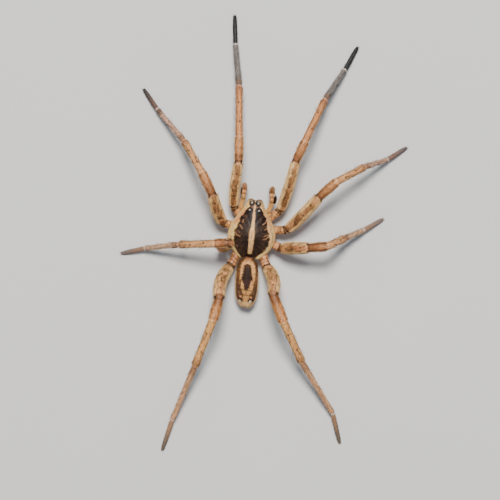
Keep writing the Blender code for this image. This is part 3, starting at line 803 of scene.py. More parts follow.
def blades(root, along, outward, length, radius, rise, turn, marks, tip_tone, unrolled):
    """Points, colours and map of many blades. Each starts at its root, rises at an angle from the
    lie, turned a little sideways, and its outer half bends back to a third of that angle."""
    across = np.cross(outward, along)
    heading = np.cos(turn)[:, None] * along + np.sin(turn)[:, None] * across
    first = np.cos(rise)[:, None] * heading + np.sin(rise)[:, None] * outward
    second = np.cos(rise / 3)[:, None] * heading + np.sin(rise / 3)[:, None] * outward
    flat = unit(np.cross(first, heading + outward * 0.6))
    proud = unit(np.cross(flat, first))
    base = root - outward * ROOT_DEPTH
    elbow = base + first * (length * 0.5)[:, None]
    tip = elbow + second * (length * 0.5)[:, None]
    circle = [(math.cos(turned), math.sin(turned)) for turned in np.arange(3) * 2 * math.pi / 3]
    corners = [centre + (x * flat + y * 0.7 * proud) * (radius * share)[:, None]
               for centre, share in ((base, 1.0), (elbow, 0.72)) for x, y in circle]
    points = np.stack(corners + [tip], axis=1)
    tones = np.stack([marks * 0.9] * 3 + [marks] * 3 + [marks * tip_tone[:, None]], axis=1)
    shifts = np.array(circle + [(x * 0.6, y * 0.6) for x, y in circle] + [(0.0, 0.0)]) * PATCH
    patches = np.clip(unrolled, MAP_MARGIN, 1.0 - MAP_MARGIN)[:, None, :] + shifts
    tones = np.clip(tones.reshape(-1, 3), HAIR_DARKEST, BRIGHTEST)
    return points.reshape(-1, 3), tones, patches.reshape(-1, 2)


def blade_faces(count):
    """The faces of many blades, wound so that they face outwards."""
    quads = np.array([[0, 3, 4, 1], [1, 4, 5, 2], [2, 5, 3, 0]])
    tris = np.array([[0, 1, 2], [3, 6, 4], [4, 6, 5], [5, 6, 3]])
    start = (np.arange(count) * 7)[:, None, None]
    return (quads + start).reshape(-1, 4), (tris + start).reshape(-1, 3)


def coat_piece(name, parts, finish):
    """One piece of joined blades."""
    points, marks, bake_map = [np.vstack(kind) for kind in zip(*parts)]
    points[:, 2] = np.maximum(points[:, 2], COAT_FLOOR)
    made = new_piece(name, points, blade_faces(len(points) // 7), marks, None, finish, bake_map)
    return made


def signed_volume(piece):
    """Volume of a closed mesh: a sixth of the sum of each triangle's triple product."""
    mesh = piece.data
    mesh.calc_loop_triangles()
    points = np.empty(len(mesh.vertices) * 3, np.float32)
    mesh.vertices.foreach_get("co", points)
    points = points.reshape(-1, 3).astype(float) / MM
    corners = np.empty(len(mesh.loop_triangles) * 3, np.int32)
    mesh.loop_triangles.foreach_get("vertices", corners)
    a, b, c = (points[corners.reshape(-1, 3)[:, corner]] for corner in range(3))
    return float(np.einsum("ij,ij->i", a, np.cross(b, c)).sum() / 6)


print("volume of the last leg skin, mm3, above 0 as its faces point out:", round(signed_volume(skin), 2))

# %% [markdown]
# The coat of the legs
#
# The leg hairs are short and lean towards the foot. They stand out a little more on the thighs, where
# the photo shows a pale fringe, and are shortest on the feet. Dark spines, many times as long, stand
# on the thighs, shins and feet, and each rises from a dot of the same dark brown.

# %% Comb the legs
# At these piece numbers: length of the hairs, degrees they rise and how crowded they are
HAIR_MARKS = (0.0, 1.0, 2.0, 2.5, 3.0, 3.5, 4.0, 4.5, 5.0, 6.0, 6.01, 7.0)
HAIR_LENGTH = (0.18, 0.18, 0.20, 0.30, 0.22, 0.25, 0.20, 0.25, 0.22, 0.20, 0.17, 0.12)
HAIR_RISE = (18, 18, 20, 26, 22, 22, 22, 24, 32, 32, 36, 34)
HAIR_CROWD = (1.3, 1.3, 1.2, 1.0, 1.0, 0.9, 1.0, 1.0, 1.2, 1.3, 1.9, 1.9)
FORE_SHANK = 1.45
HAIR_LEAD = 0.4
JOINT_BARE = 0.15
JOINT_THINNING = 0.75
HAIRS_PER_LEG = 9600
LONG_HAIRS = 260
SIDE_FRINGE = 2500
FRINGE_ON_THIGH = 0.68
SPINE_RADIUS = 0.034


def limb_blades(guide, at, angle, round_share, *shape):
    """Blades rooted on a limb at these distances along it and angles round it."""
    root, outward = limb_point(guide, at, angle)
    unrolled = np.column_stack([at / guide["length"], round_share])
    return blades(root, read_guide(guide, "along", at), outward, *shape, unrolled)


def leg_hairs(name, guide, count, seed, longer=1.0, thicker=1.0, rise_more=0.0, tone=1.0):
    """Hairs scattered over a leg: more where the crowd is larger, coloured by the marks below."""
    draw = np.random.default_rng(seed)
    crowd = np.interp(guide["number"], HAIR_MARKS, HAIR_CROWD) * guide["radius"]
    for joint in range(1, 7):
        gap = guide["at"] - distance_at(guide, joint)
        crowd = crowd * (1.0 - JOINT_THINNING * np.exp(-((gap / JOINT_BARE) ** 2)))
    total = np.cumsum(crowd)
    pair = spread(count, seed)
    at = np.interp(pair[:, 0] * total[-1], total, guide["at"])
    angle = (pair[:, 1] * 2.0 - 1.0) * math.pi
    number = read_guide(guide, "number", at)
    length = np.interp(number, HAIR_MARKS, HAIR_LENGTH) * draw.uniform(0.7, 1.3, count) * longer
    length = length * np.where((number > 5) & (number < 6) & name.endswith("1"), FORE_SHANK, 1.0)
    rise = np.radians(np.interp(number, HAIR_MARKS, HAIR_RISE) * draw.uniform(0.5, 1.5, count) + rise_more)
    turn = draw.normal(0.0, 0.22, count)
    marks = leg_colour(name)(guide, at + HAIR_LEAD * length, angle)
    marks = marks * (draw.uniform(0.8, 1.25, count) * tone)[:, None]
    radius = draw.uniform(0.011, 0.017, count) * thicker
    return limb_blades(guide, at, angle, pair[:, 1], length, radius, rise, turn, marks,
                       draw.uniform(1.0, 1.5, count))


def leg_spines(guide, seed):
    """The spines of a leg as larger, straighter blades."""
    draw = np.random.default_rng(seed)
    number, angle, length = (np.array(column) for column in zip(*SPINES))
    count = len(number)
    at = distance_at(guide, number + draw.normal(0.0, 0.012, count))
    angle = angle + draw.normal(0.0, 0.08, count)
    rise = np.radians(draw.uniform(20, 34, count))
    length = length * draw.uniform(0.9, 1.1, count)
    thick = SPINE_RADIUS * np.where(number > 5, 0.8, 1.0)
    return limb_blades(guide, at, angle, (angle / math.pi + 1) / 2, length, thick, rise,
                       draw.normal(0.0, 0.1, count), one_colour(46, 32, 26)(at), np.full(count, 1.3))


def side_fringe(guide, count, seed):
    """Pale hairs that stand out from both sides of the leg, most of them on the thigh."""
    draw = np.random.default_rng(seed)
    pair = spread(count, seed)
    thigh = draw.uniform(0.0, 1.0, count) < FRINGE_ON_THIGH
    at = distance_at(guide, np.where(thigh, 2.06 + 0.88 * pair[:, 0], 3.05 + 1.85 * pair[:, 0]))
    angle = np.where(pair[:, 1] > 0.5, 1.0, -1.0) * (0.90 + 0.85 * draw.uniform(0.0, 1.0, count))
    marks = paint(246, 232, 206) * draw.uniform(0.85, 1.1, count)[:, None]
    length = draw.uniform(0.18, 0.32, count) * np.where(thigh, 1.0, 0.75)
    return limb_blades(guide, at, angle, (angle / math.pi + 1) / 2, length,
                       draw.uniform(0.010, 0.015, count), np.radians(draw.uniform(18, 46, count)),
                       draw.normal(0.0, 0.3, count), marks, np.ones(count))


for order, (name, guide) in enumerate(GUIDES.items()):
    short = leg_hairs(name, guide, HAIRS_PER_LEG, 300 + order)
    edge = side_fringe(guide, SIDE_FRINGE, 350 + order)
    long = leg_hairs(name, guide, LONG_HAIRS, 400 + order, longer=2.2, thicker=0.9, rise_more=16, tone=0.8)
    coat = coat_piece("leg_coat_" + name, [short, edge, long], HAIR_FINISH)
    spines = coat_piece("leg_spines_" + name, [leg_spines(guide, 500 + order)], SPINE_FINISH)
print("volume of the last coat, mm3, above 0:", round(signed_volume(coat), 3),
      "and of its spines:", round(signed_volume(spines), 3))

# %% [markdown]
# The carapace
#
# The shield over head and chest is a grid of rings from its rear to its front edge. Each ring is a
# half ellipse above and nearly flat below, read from a few stations along the body. The head is
# narrow and steep, the chest broad and low, with a short pit in its middle, the fovea, and shallow
# furrows that run out from it.

# %% Shape the carapace
def curve_through(stations, x):
    """Smooth curves through the columns of a station table, read at x, by cubic pieces whose slopes
    are the average slopes at the stations."""
    table = np.array(sorted(stations), dtype=float)
    knots = table[:, 0]
    left = np.clip(np.searchsorted(knots, x, side="right") - 1, 0, len(knots) - 2)
    span = knots[left + 1] - knots[left]
    t = np.clip((x - knots[left]) / span, 0.0, 1.0)
    read = []
    for column in table[:, 1:].T:
        slope = np.gradient(column, knots)
        read.append((2 * t**3 - 3 * t**2 + 1) * column[left] + (t**3 - 2 * t**2 + t) * span * slope[left]
                    + (3 * t**2 - 2 * t**3) * column[left + 1] + (t**3 - t**2) * span * slope[left + 1])
    return read


LARGEST_END_RING = 0.93
SMALLEST_END_RING = 0.03


def ringed(form, around, body_rings, end_rings, front_power, rear_power):
    """A grid of a closed form's points, from rear to front. The form's function takes shares along,
    ring sizes and angles. Steps are even along the body and, towards each end, even in ring size, so
    that a blunt end is finely ringed too."""
    full = LARGEST_END_RING
    small = np.linspace(SMALLEST_END_RING, full, end_rings, endpoint=False)
    rear = -(1 - small**rear_power) ** (1 / rear_power)
    front = (1 - small[::-1] ** front_power) ** (1 / front_power)
    edges = (-(1 - full**rear_power) ** (1 / rear_power), (1 - full**front_power) ** (1 / front_power))
    along = np.concatenate([rear, np.linspace(*edges, body_rings), front])
    power = np.where(along > 0, front_power, rear_power)
    size = (1 - np.abs(along) ** power) ** (1 / power)
    angles = np.linspace(-math.pi, math.pi, around, endpoint=False)
    points = form(np.repeat(along, around), np.repeat(size, around), np.tile(angles, len(along)))
    return points.reshape(-1, around, 3)


# Place along the body, half width, height of the margin and of the top, and squareness of the arch
CARAPACE = [(-3.42, 1.45, 2.30, 2.62, 1.0), (-2.85, 1.86, 2.30, 2.86, 1.0), (-1.95, 2.36, 2.30, 3.55, 1.1),
            (-1.0, 2.60, 2.30, 4.08, 1.12), (0.15, 2.44, 2.30, 4.20, 1.1), (1.2, 1.87, 2.30, 4.12, 0.9),
            (2.0, 1.32, 2.34, 4.02, 0.72), (2.6, 1.10, 2.50, 3.92, 0.64), (3.07, 1.02, 2.66, 3.82, 0.60)]
CARAPACE_COAT = 0.05
CARAPACE_AROUND = 168
LIP_DEPTH = 0.10
REAR_NOTCH = 0.42
FOVEA = (0.0, -0.75)
FURROWS = 9
EYE_RIM = 0.045
HEAD_MIDDLE = np.array([0.0, 1.2, 2.4])
# Half the distance between the two eyes of a pair, their place along and height, and their radius
EYES = {
    "eye_front_middle": (0.16, 3.03, 3.02, 0.115),
    "eye_front_side": (0.45, 2.99, 2.98, 0.095),
    "eye_rear_middle": (0.345, 2.76, 3.69, 0.215),
    "eye_rear_side": (0.50, 1.99, 3.86, 0.19),
}


def eye_distance(points):
    """Distance of each point to the nearest eye's surface."""
    return np.min([np.linalg.norm(points - [side * half, y, z], axis=1) - radius
                   for half, y, z, radius in EYES.values() for side in SIDES.values()], axis=0)


def carapace_point(along, size, angle):
    """Points of the shield: half ellipses above the margin, a thin lip below it, a notch at the rear,
    furrows that run out from the fovea, and a low rim round each eye. Angle 0 is the top."""
    front, rear = CARAPACE_Y[1] - 0.03, CARAPACE_Y[0] + CARAPACE_COAT
    y = (front + rear) / 2 + (front - rear) / 2 * along
    half_width, margin, top, square = curve_through(CARAPACE, y)
    x = (half_width - CARAPACE_COAT) * size * np.sin(angle)
    up = np.cos(angle)
    arch = (top - CARAPACE_COAT - margin) * np.abs(up) ** square
    z = margin + np.where(up > 0, arch, LIP_DEPTH * up) * size
    y = y + REAR_NOTCH * np.clip(1.0 - x**2, 0.0, 1.0) * np.clip(-along, 0.0, 1.0) ** 6
    away = np.hypot(x - FOVEA[0], (y - FOVEA[1]) * 0.85)
    bearing = np.arctan2(np.abs(x), y - FOVEA[1])
    furrow = np.cos(bearing * FURROWS + 0.6) * spot(away - 1.25, 0.8, 0.9)
    neck = np.exp(-(((np.abs(x) - 0.55 * (y - 0.05)) / 0.17) ** 2)) * spot(y - 0.85, 0.8, 0.8)
    pit = np.exp(-((x / 0.07) ** 2)) * spot(y - FOVEA[1], 0.38, 0.5)
    sink = (0.006 * furrow + 0.028 * neck + 0.09 * pit) * (up > 0.05)
    points = np.column_stack([x, y, z - sink])
    collar = np.exp(-((eye_distance(points) - 0.02) / 0.055) ** 2) * (up > 0)
    return points + unit(points - HEAD_MIDDLE) * (EYE_RIM * collar)[:, None]


shield = ringed(carapace_point, CARAPACE_AROUND, body_rings=120, end_rings=22, front_power=7.0,
                rear_power=3.2)
print("carapace points:", shield.size // 3, "lowest and highest, mm:",
      shield.min(axis=(0, 1)).round(2), shield.max(axis=(0, 1)).round(2))

# %% [markdown]
# Marks of the carapace
#
# Two broad dark bands run from the eyes to the rear, with a cream stripe between them that widens
# behind the middle, and a broad pale band along each edge. The border of the dark bands is toothed,
# and thin pale hairs streak in from it towards the fovea. A haze of brown lies round the fovea, and
# the skin round the eyes is nearly black.

# %% Paint the carapace
BAND_EDGE = [(-3.45, 0.55), (-3.1, 0.88), (-2.7, 1.27), (-2.1, 1.64), (-1.65, 1.82), (-1.25, 1.85),
             (-0.8, 1.88), (-0.35, 1.84), (0.15, 1.62), (0.8, 1.48), (1.3, 1.32), (1.55, 1.10),
             (1.8, 0.98), (2.2, 0.74), (2.45, 0.50), (2.7, 0.30), (3.1, 0.25)]
STRIPE_HALF = [(-3.45, 0.15), (-2.7, 0.20), (-2.0, 0.23), (-1.1, 0.265), (-0.45, 0.27), (-0.2, 0.23),
               (0.3, 0.165), (1.2, 0.13), (2.0, 0.10), (2.4, 0.09), (3.1, 0.08)]
STRIPE_X = 0.015
# Pale streaks of hair inside the border of the dark bands: from, to, how strong
STREAKS = [((-1.05, 0.90), (-1.08, 0.58), 0.8), ((-1.36, 0.30), (-1.05, -0.09), 0.8),
           ((-1.80, -0.50), (-1.57, -0.79), 0.9), ((-1.57, -0.79), (-1.22, -0.93), 0.9),
           ((-1.46, -1.90), (-1.38, -2.02), 0.6), ((-1.52, -0.30), (-1.30, -0.55), 0.4),
           ((1.38, 0.88), (1.07, 0.58), 0.9), ((1.56, 0.26), (1.33, 0.03), 0.7),
           ((1.80, -0.42), (1.34, -0.65), 0.7), ((1.86, -0.57), (1.60, -0.89), 1.0),
           ((1.60, -0.89), (1.31, -0.97), 0.9), ((1.54, -2.06), (1.44, -2.20), 0.6)]


def shield_edge(y):
    """Half the width of the shield at y."""
    return curve_through(CARAPACE, y)[0] - CARAPACE_COAT


def shield_colour(points):
    """The carapace's colour at its points, from their places seen from above."""
    x, y, z = points.T
    half = np.abs(x - STRIPE_X)
    patch = mottle(points, 0.9, 11)
    fine = mottle(points, 0.22, 12)
    # The border of the dark bands, and how near to it a point is
    uneven = 0.26 * step(-y, 2.45, 0.7) - 0.08 * spot(y + 1.2, 0.5)
    bearing = np.arctan2(half, y - FOVEA[1])
    teeth = 0.045 * np.sin(bearing * 15 + 1.5 * np.sign(x) + 2.0 * patch)
    teeth = teeth + 0.03 * np.sin(bearing * 37 + 2 * patch)
    edge = curve_through(BAND_EDGE, y)[0] - uneven * (x > 0) + teeth * spot(y + 0.2, 2.2, 0.6) + 0.03 * fine
    reach = half / edge
    # The pale bands along the margin
    skin = Paintwork(len(points), (226, 208, 168))
    skin.lay((212, 196, 136), step(patch + 0.2, 0.0, 1.0) * step(-x, 0.0, 1.0) * 0.8)
    skin.lay((222, 192, 166), step(-patch, 0.2, 0.6) * step(x, 0.0, 1.0) * 0.6)
    skin.lay((168, 138, 94), step(fine, 0.30, 0.4) * 0.30)
    seam = spot(half - 0.5 * (edge + shield_edge(y)) - 0.04 * patch, 0.09, 0.9)
    skin.lay((146, 122, 84), seam * step(fine, -0.1, 0.5) * (0.30 + 0.30 * (x > 0)))
    # Painted light: the rear is painted near white, shown on its margin, to lift the shade of its steep
    # slope.
    skin.lay((254, 242, 206), step(-y, 1.7, 1.2) * 0.95)
    warm = spot(reach - 1.12, 0.22, 0.8) * spot(y - 1.25, 0.8, 0.6) * (0.5 + 0.35 * (x < 0))
    skin.lay((196, 142, 100), warm * (0.55 + 0.45 * step(fine + patch, -0.2, 0.8)))
    rim = spot(half - shield_edge(y) + 0.10, 0.08, 0.8) * (y < 2.3)
    skin.lay((240, 224, 180), rim * 0.8)
    # The dark bands, with rays and streaks towards the fovea
    band = spot(reach, 1.0, 0.07)
    skin.lay(DARK, band)
    # Painted shade: the front of the bands is darker and warmer, to offset the cool sheen on its slope.
    skin.lay((56, 20, 6), band * step(y, 0.4, 0.6) * 0.85)
    skin.lay(HAZE, band * (0.10 + 0.2 * step(patch, 0.2, 0.8)) * step(fine, -0.2, 1.0) * (y < 0.5))
    rays = step(np.sin(bearing * 21 + 2.5 * patch + np.sign(x)), 0.3, 0.9) * spot(reach - 0.78, 0.30, 0.8)
    skin.lay((122, 88, 66), rays * band * 0.55 * step(-y, -1.6, 1.0))
    streaks = np.zeros(len(points))
    for start, end, strength in STREAKS:
        way = np.subtract(end, start)
        from_start = points[:, :2] - start
        share = np.clip(from_start @ way / (way @ way), 0.0, 1.0)
        gap = np.linalg.norm(from_start - share[:, None] * way, axis=1)
        streaks = np.maximum(streaks, spot(gap, 0.05, 1.2) * strength)
    skin.lay((186, 150, 118), streaks * 0.8)
    haze = np.exp(-((x / 0.46) ** 2) - ((y + 0.10) / 0.50) ** 2)
    skin.lay((128, 106, 86), haze * band * 0.75)
    skin.lay((156, 118, 94), step(y, 2.15, 0.3) * band * spot(y - 2.42, 0.22, 0.8) * 0.8)
    # The stripe in the middle, and the fovea in it
    stripe_half = curve_through(STRIPE_HALF, y)[0] + 0.03 * fine + 0.02 * patch
    stripe = spot(half / stripe_half, 1.0, 0.3) * step(z, 2.75, 0.2)
    skin.lay((236, 216, 178), stripe)
    skin.lay((190, 160, 124), stripe * step(fine + patch, 0.2, 0.8) * 0.5)
    skin.lay((200, 168, 122), stripe * step(y, 0.8, 1.0) * 0.85)
    skin.lay((120, 84, 62), np.exp(-((x / 0.04) ** 2)) * spot(y - FOVEA[1], 0.3, 0.8) * 0.5)
    # The brow, the rims of the eyes, the face and the lip below the margin
    brow = spot(np.hypot(np.abs(x) - 0.345, y - 2.76), 0.40, 0.4) * step(half, 0.11, 0.05)
    skin.lay((78, 54, 44), brow * step(y, 2.78, 0.1) * step(z, 3.35, 0.2) * 0.85)
    skin.lay((48, 32, 26), spot(np.maximum(eye_distance(points), 0.0), 0.16, 0.8) * 0.95)
    skin.lay((168, 124, 90), step(y, 2.93, 0.06) * spot(z, 2.9, 0.2) * 0.7)
    skin.lay((150, 104, 66), step(2.34 - z, 0.0, 0.06) * (y < 2.3) * 0.8)
    return skin.finished()


carapace = closed_piece("carapace_skin", shield, shield_colour, SHIELD_FINISH)
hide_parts("carapace")
print("carapace volume, mm3:", round(signed_volume(carapace), 2))

# %% [markdown]
# Short hairs of the body
#
# On a body piece the hairs are rooted at points of its own grid. Their lie is the direction towards
# the rear, laid on the surface, which comes from the grid's neighbours. On the carapace they are very
# short and nearly flat, and there are none beside the eyes.

# %% Comb a body piece
def grid_roots(grid, count, seed, crowd=None):
    """Random places on a closed grid of rings, as many to each face as its area asks: the point, the
    outward direction, and the place on the unrolled grid."""
    draw = np.random.default_rng(seed)
    rings, around = grid.shape[:2]
    along_step = grid[1:] - grid[:-1]
    across_step = np.roll(grid, -1, axis=1)[:-1] - grid[:-1]
    normal = np.cross(across_step, along_step)
    area = np.linalg.norm(normal, axis=2)
    weight = area if crowd is None else area * crowd(grid[:-1].reshape(-1, 3)).reshape(area.shape)
    total = np.cumsum(weight.ravel())
    pick = np.clip(np.searchsorted(total, draw.uniform(0.0, total[-1], count)), 0, total.size - 1)
    row, column = np.divmod(pick, around)
    part = draw.uniform(0.0, 1.0, (count, 2))
    point = grid[row, column] + part[:, :1] * along_step[row, column]
    point = point + part[:, 1:] * across_step[row, column]
    facing = normal[row, column] / np.maximum(area[row, column], 1e-12)[:, None]
    return point, facing, np.column_stack([(row + part[:, 0]) / rings, (column + part[:, 1]) / around])


def body_hairs(grid, lie, colour, crowd=None, *, count, seed, length, radius, rise, tone=1.0):
    """Hairs on a body piece. Lie gives the direction they point to at each root, which is laid flat
    on the surface there. Rise is how many degrees they stand up from it."""
    draw = np.random.default_rng(seed)
    root, facing, unrolled = grid_roots(grid, count, seed + 1, crowd)
    direction = lie(root)
    along = unit(direction - (direction * facing).sum(axis=1)[:, None] * facing + 1e-9)
    long = length * draw.uniform(0.65, 1.35, count)
    marks = colour(root + along * (HAIR_LEAD * long)[:, None])
    marks = marks * (draw.uniform(0.8, 1.25, count) * tone)[:, None]
    return blades(root, along, facing, long, radius * draw.uniform(0.8, 1.2, count),
                  np.radians(rise * draw.uniform(0.4, 1.6, count)), draw.normal(0.0, 0.3, count),
                  marks, draw.uniform(1.0, 1.35, count), unrolled)


def rearwards(points):
    """Towards the rear, and a little outwards on the sides."""
    return np.column_stack([0.25 * np.sign(points[:, 0]), -np.ones(len(points)), np.zeros(len(points))])


def off_the_eyes(points):
    """Fewer hairs underneath and none on or close beside an eye."""
    return step(eye_distance(points), 0.07, 0.06) * np.where(points[:, 2] < 2.25, 0.15, 1.0)


shield_short = body_hairs(shield, rearwards, shield_colour, off_the_eyes,
                          count=13000, seed=600, length=0.17, radius=0.012, rise=12)
shield_coat = coat_piece("carapace_coat", [shield_short], HAIR_FINISH)
print("carapace coat volume, mm3:", round(signed_volume(shield_coat), 3))

# %% [markdown]
# The abdomen
#
# The abdomen is a long egg, blunt in front, that hangs from the narrow waist. Its axis turns a little
# to one side, as in the photo. Its hairs are longer than those of the shield and stand out as a pale
# fringe round its edge.

# %% Shape and paint the abdomen
# Place along the body, half width, and heights of the lowest and the highest line
ABDOMEN = [(-3.08, 0.72, 1.50, 2.95), (-3.55, 1.04, 1.30, 3.10), (-4.2, 1.15, 1.08, 3.22),
           (-5.3, 1.17, 0.96, 3.26), (-6.4, 1.17, 0.94, 3.14), (-7.2, 1.08, 1.00, 2.86),
           (-7.8, 0.92, 1.06, 2.52), (-8.32, 0.66, 1.10, 2.24)]
ABDOMEN_COAT = 0.04
ABDOMEN_AROUND = 112
ABDOMEN_REAR_POWER = 4.5
ABDOMEN_FRONT_POWER = 6.5
ABDOMEN_ENDS = (ABDOMEN[-1][0] + ABDOMEN_COAT, ABDOMEN[0][0] - 0.02)
ABDOMEN_AXIS_X = -0.10
ABDOMEN_TURN = 0.057
DIMPLES = ((-4.6, 0.33), (-5.5, 0.36))


def axis_x(y):
    """Where the abdomen's axis runs at y."""
    return ABDOMEN_AXIS_X + ABDOMEN_TURN * (ABDOMEN[0][0] - y)


def abdomen_point(along, size, angle):
    """Points of the egg: ellipses between a lowest and a highest line, with faint folds across the
    rear and small dimples where muscles hold the back. Angle 0 is the top."""
    rear, front = ABDOMEN_ENDS
    y = (front + rear) / 2 + (front - rear) / 2 * along
    half_width, low, high = curve_through(ABDOMEN, y)
    half_height = (high - low) / 2 - ABDOMEN_COAT
    x = axis_x(y) + (half_width - ABDOMEN_COAT) * size * np.sin(angle)
    z = (low + high) / 2 + half_height * size * np.cos(angle)
    folds = 0.012 * np.sin(y * 9.0) * step(-y, 5.8, 1.0)
    for dimple_y, dimple_x in DIMPLES:
        for side in SIDES.values():
            gap = np.hypot(x - axis_x(y) - side * dimple_x, y - dimple_y)
            folds = folds - 0.04 * np.exp(-((gap / 0.10) ** 2)) * (np.cos(angle) > 0)
    return np.column_stack([x, y, z + folds * np.cos(angle)])


HEART_HALF = [(-6.54, 0.02), (-6.45, 0.15), (-6.21, 0.235), (-5.73, 0.36), (-5.5, 0.45), (-5.27, 0.52),
              (-5.0, 0.45), (-4.57, 0.40), (-4.2, 0.33), (-3.95, 0.29), (-3.86, 0.24), (-3.78, 0.05)]
SIDE_BAND_IN = [(-8.5, 0.50), (-8.0, 0.42), (-7.5, 0.40), (-7.0, 0.43), (-6.75, 0.58), (-6.45, 0.66),
                (-5.95, 0.66), (-5.7, 0.68), (-5.5, 0.82), (-5.0, 0.84), (-4.3, 0.84), (-3.9, 0.76),
                (-3.6, 0.64), (-3.45, 0.54), (-3.3, 0.42), (-3.0, 0.30)]
SIDE_BAND_OUT = [(-8.5, 0.50), (-8.1, 0.76), (-7.6, 1.00), (-7.0, 1.12), (-6.4, 1.17), (-5.7, 1.2),
                 (-5.0, 1.2), (-4.3, 1.2), (-3.6, 1.2), (-3.0, 1.2)]
CHEVRONS = ((-6.56, 0.70), (-7.10, 0.46))
WHITE_SPOTS = {-1.0: (-0.67, -7.80), 1.0: (0.49, -7.76)}
WHITE = np.array([0.86, 0.68, 0.47])


def on_the_back(y, z):
    """1 on the upper half of the abdomen and 0 below, softly where they meet on its sides."""
    low, high = curve_through(ABDOMEN, y)[1:]
    share = (y - ABDOMEN_ENDS[0]) / (ABDOMEN_ENDS[1] - ABDOMEN_ENDS[0]) * 2 - 1
    power = np.where(share > 0, ABDOMEN_FRONT_POWER, ABDOMEN_REAR_POWER)
    ring = np.maximum(1 - np.abs(np.clip(share, -1, 1)) ** power, 0.0) ** (1 / power)
    upper = step((z - (low + high) / 2) / ((high - low) / 2 * np.maximum(ring, 0.08)), 0.0, 0.3)
    return np.maximum(upper, step(y, -3.3, 0.2) * step(z, 2.0, 0.5))


def abdomen_colour(points):
    """The abdomen's colour: a dark heart mark between cream bands, dark sides, chevrons behind and a
    white spot in a dark rim on each side of the rear. The belly is tan with a pale middle."""
    x, y, z = points.T
    offset = x - axis_x(y)
    half = np.abs(offset)
    patch = mottle(points, 0.6, 21)
    fine = mottle(points, 0.17, 22)
    # The cream bands
    skin = Paintwork(len(points), (204, 170, 122))
    skin.lay((226, 200, 152), step(patch, 0.0, 0.6) * 0.7)
    skin.lay((170, 132, 84), step(fine, 0.3, 0.6) * 0.45)
    skin.lay((224, 196, 152), spot(y + 4.3, 0.7, 0.6) * spot(half, 0.75, 0.3) * 0.6)
    skin.lay((180, 134, 92), step(y, -3.55, 0.4) * 0.85)
    skin.lay((150, 96, 80), step(y, -3.25, 0.25) * spot(half, 0.30, 0.6) * 0.6)
    skin.lay((194, 160, 106), step(-y, 6.1, 0.5) * spot(half, 0.5, 0.4) * 0.7)
    # The dark bands along the sides, blended with tan hairs
    band_in = curve_through(SIDE_BAND_IN, y)[0] - 0.05 + 0.05 * np.sign(offset)
    band_out = curve_through(SIDE_BAND_OUT, y)[0]
    ragged = 0.05 * fine + 0.04 * np.sin(y * 17.0 + 2.0 * np.sign(offset)) * step(y, -6.6, 0.5)
    side_band = step(half + ragged + 0.02 * patch, band_in, 0.07)
    side_band = side_band * step(band_out - half + 0.03 * fine + 0.02 * patch, 0.0, 0.07)
    skin.lay((106, 74, 54), side_band)
    amount = 0.30 + 0.55 * step(-y, 4.3, 0.8) - 0.60 * step(-y, 6.0, 0.5)
    skin.lay((174, 131, 87), side_band * step(fine + 0.3 * patch, -0.15, 0.6) * amount)
    skin.lay((160, 122, 90), side_band * step(fine, 0.35, 0.3) * 0.6 * step(-y, 6.7, 0.3))
    # The heart mark, with jagged sides and a corner on each side, and its changing tones
    jags = 0.05 * np.sin(y * 21.0 + 1.5 * np.sign(offset)) + 0.05 * fine + 0.02 * patch
    heart = step(curve_through(HEART_HALF, y)[0] + 0.07 + jags - half, 0.0, 0.06)
    heart = heart * (y < -3.76) * (y > -6.56)
    corner = spot(np.hypot((half - 0.56) / 0.15, (y + 5.46 + 0.4 * (half - 0.5)) / 0.06), 1.0, 0.6)
    skin.lay((90, 60, 43), np.maximum(heart, corner * 0.85))
    skin.lay((70, 52, 34), heart * spot(np.hypot(offset / 0.3, (y + 5.1) / 0.5), 1.0, 0.9) * 0.6)
    skin.lay((98, 58, 58), heart * spot(y + 5.85, 0.38, 0.9) * 0.8)
    skin.lay((112, 76, 36), heart * step(y, -4.15, 0.4) * 0.8)
    # Behind it the chevrons, a thin line between them, and the white spots with two dots before each
    for centre, wide in CHEVRONS:
        bend = y - centre + 0.10 * np.abs(half - 0.35)
        chevron = spot(bend, 0.055, 0.9) * spot(half, wide, 0.3) * (half > 0.05)
        skin.lay((96, 62, 38), chevron * step(fine, -0.7, 0.8) * 0.9)
    skin.lay((120, 84, 54), spot(half, 0.045, 0.9) * (y < -6.56) * (y > -7.15) * 0.8)
    for side, (spot_x, spot_y) in WHITE_SPOTS.items():
        gap = np.hypot(offset - spot_x, y - spot_y)
        skin.lay((58, 38, 30), spot(gap, 0.31, 0.4))
        skin.lay(WHITE, spot(gap, 0.16, 0.3))
        skin.lay((210, 170, 134), spot(np.hypot(offset - side * 0.56, y + 7.30), 0.12, 0.6) * 0.85)
        skin.lay((168, 138, 110), spot(np.hypot(offset - side * 0.74, y + 6.85), 0.12, 0.8) * 0.6)
    skin.lay((208, 190, 156), step(half, band_out + 0.02, 0.06) * step(-y, 5.4, 0.6) * 0.95)
    # The very end is pale, painted paler still: painted light that lifts the shade on its rear face.
    skin.lay((254, 240, 212), step(-y, 7.9, 0.4))
    below = Paintwork(len(points), (200, 174, 134))
    below.lay((150, 112, 78), step(patch + 0.5 * fine, 0.15, 0.6) * 0.5)
    below.lay((206, 190, 158), spot(half, 0.35, 0.5) * 0.5)
    below.lay(skin.light, on_the_back(y, z))
    return below.finished()


back = ringed(abdomen_point, ABDOMEN_AROUND, body_rings=120, end_rings=20,
              front_power=ABDOMEN_FRONT_POWER, rear_power=ABDOMEN_REAR_POWER)
abdomen = closed_piece("abdomen_skin", back, abdomen_colour, BELLY_FINISH)
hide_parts("abdomen")


def on_the_rim(points):
    """Only beside the widest line of the rear half."""
    low, high = curve_through(ABDOMEN, points[:, 1])[1:]
    level = (points[:, 2] - (low + high) / 2) / (high - low)
    return spot(level + 0.10, 0.20, 0.4) * step(-points[:, 1], 4.6, 1.0)


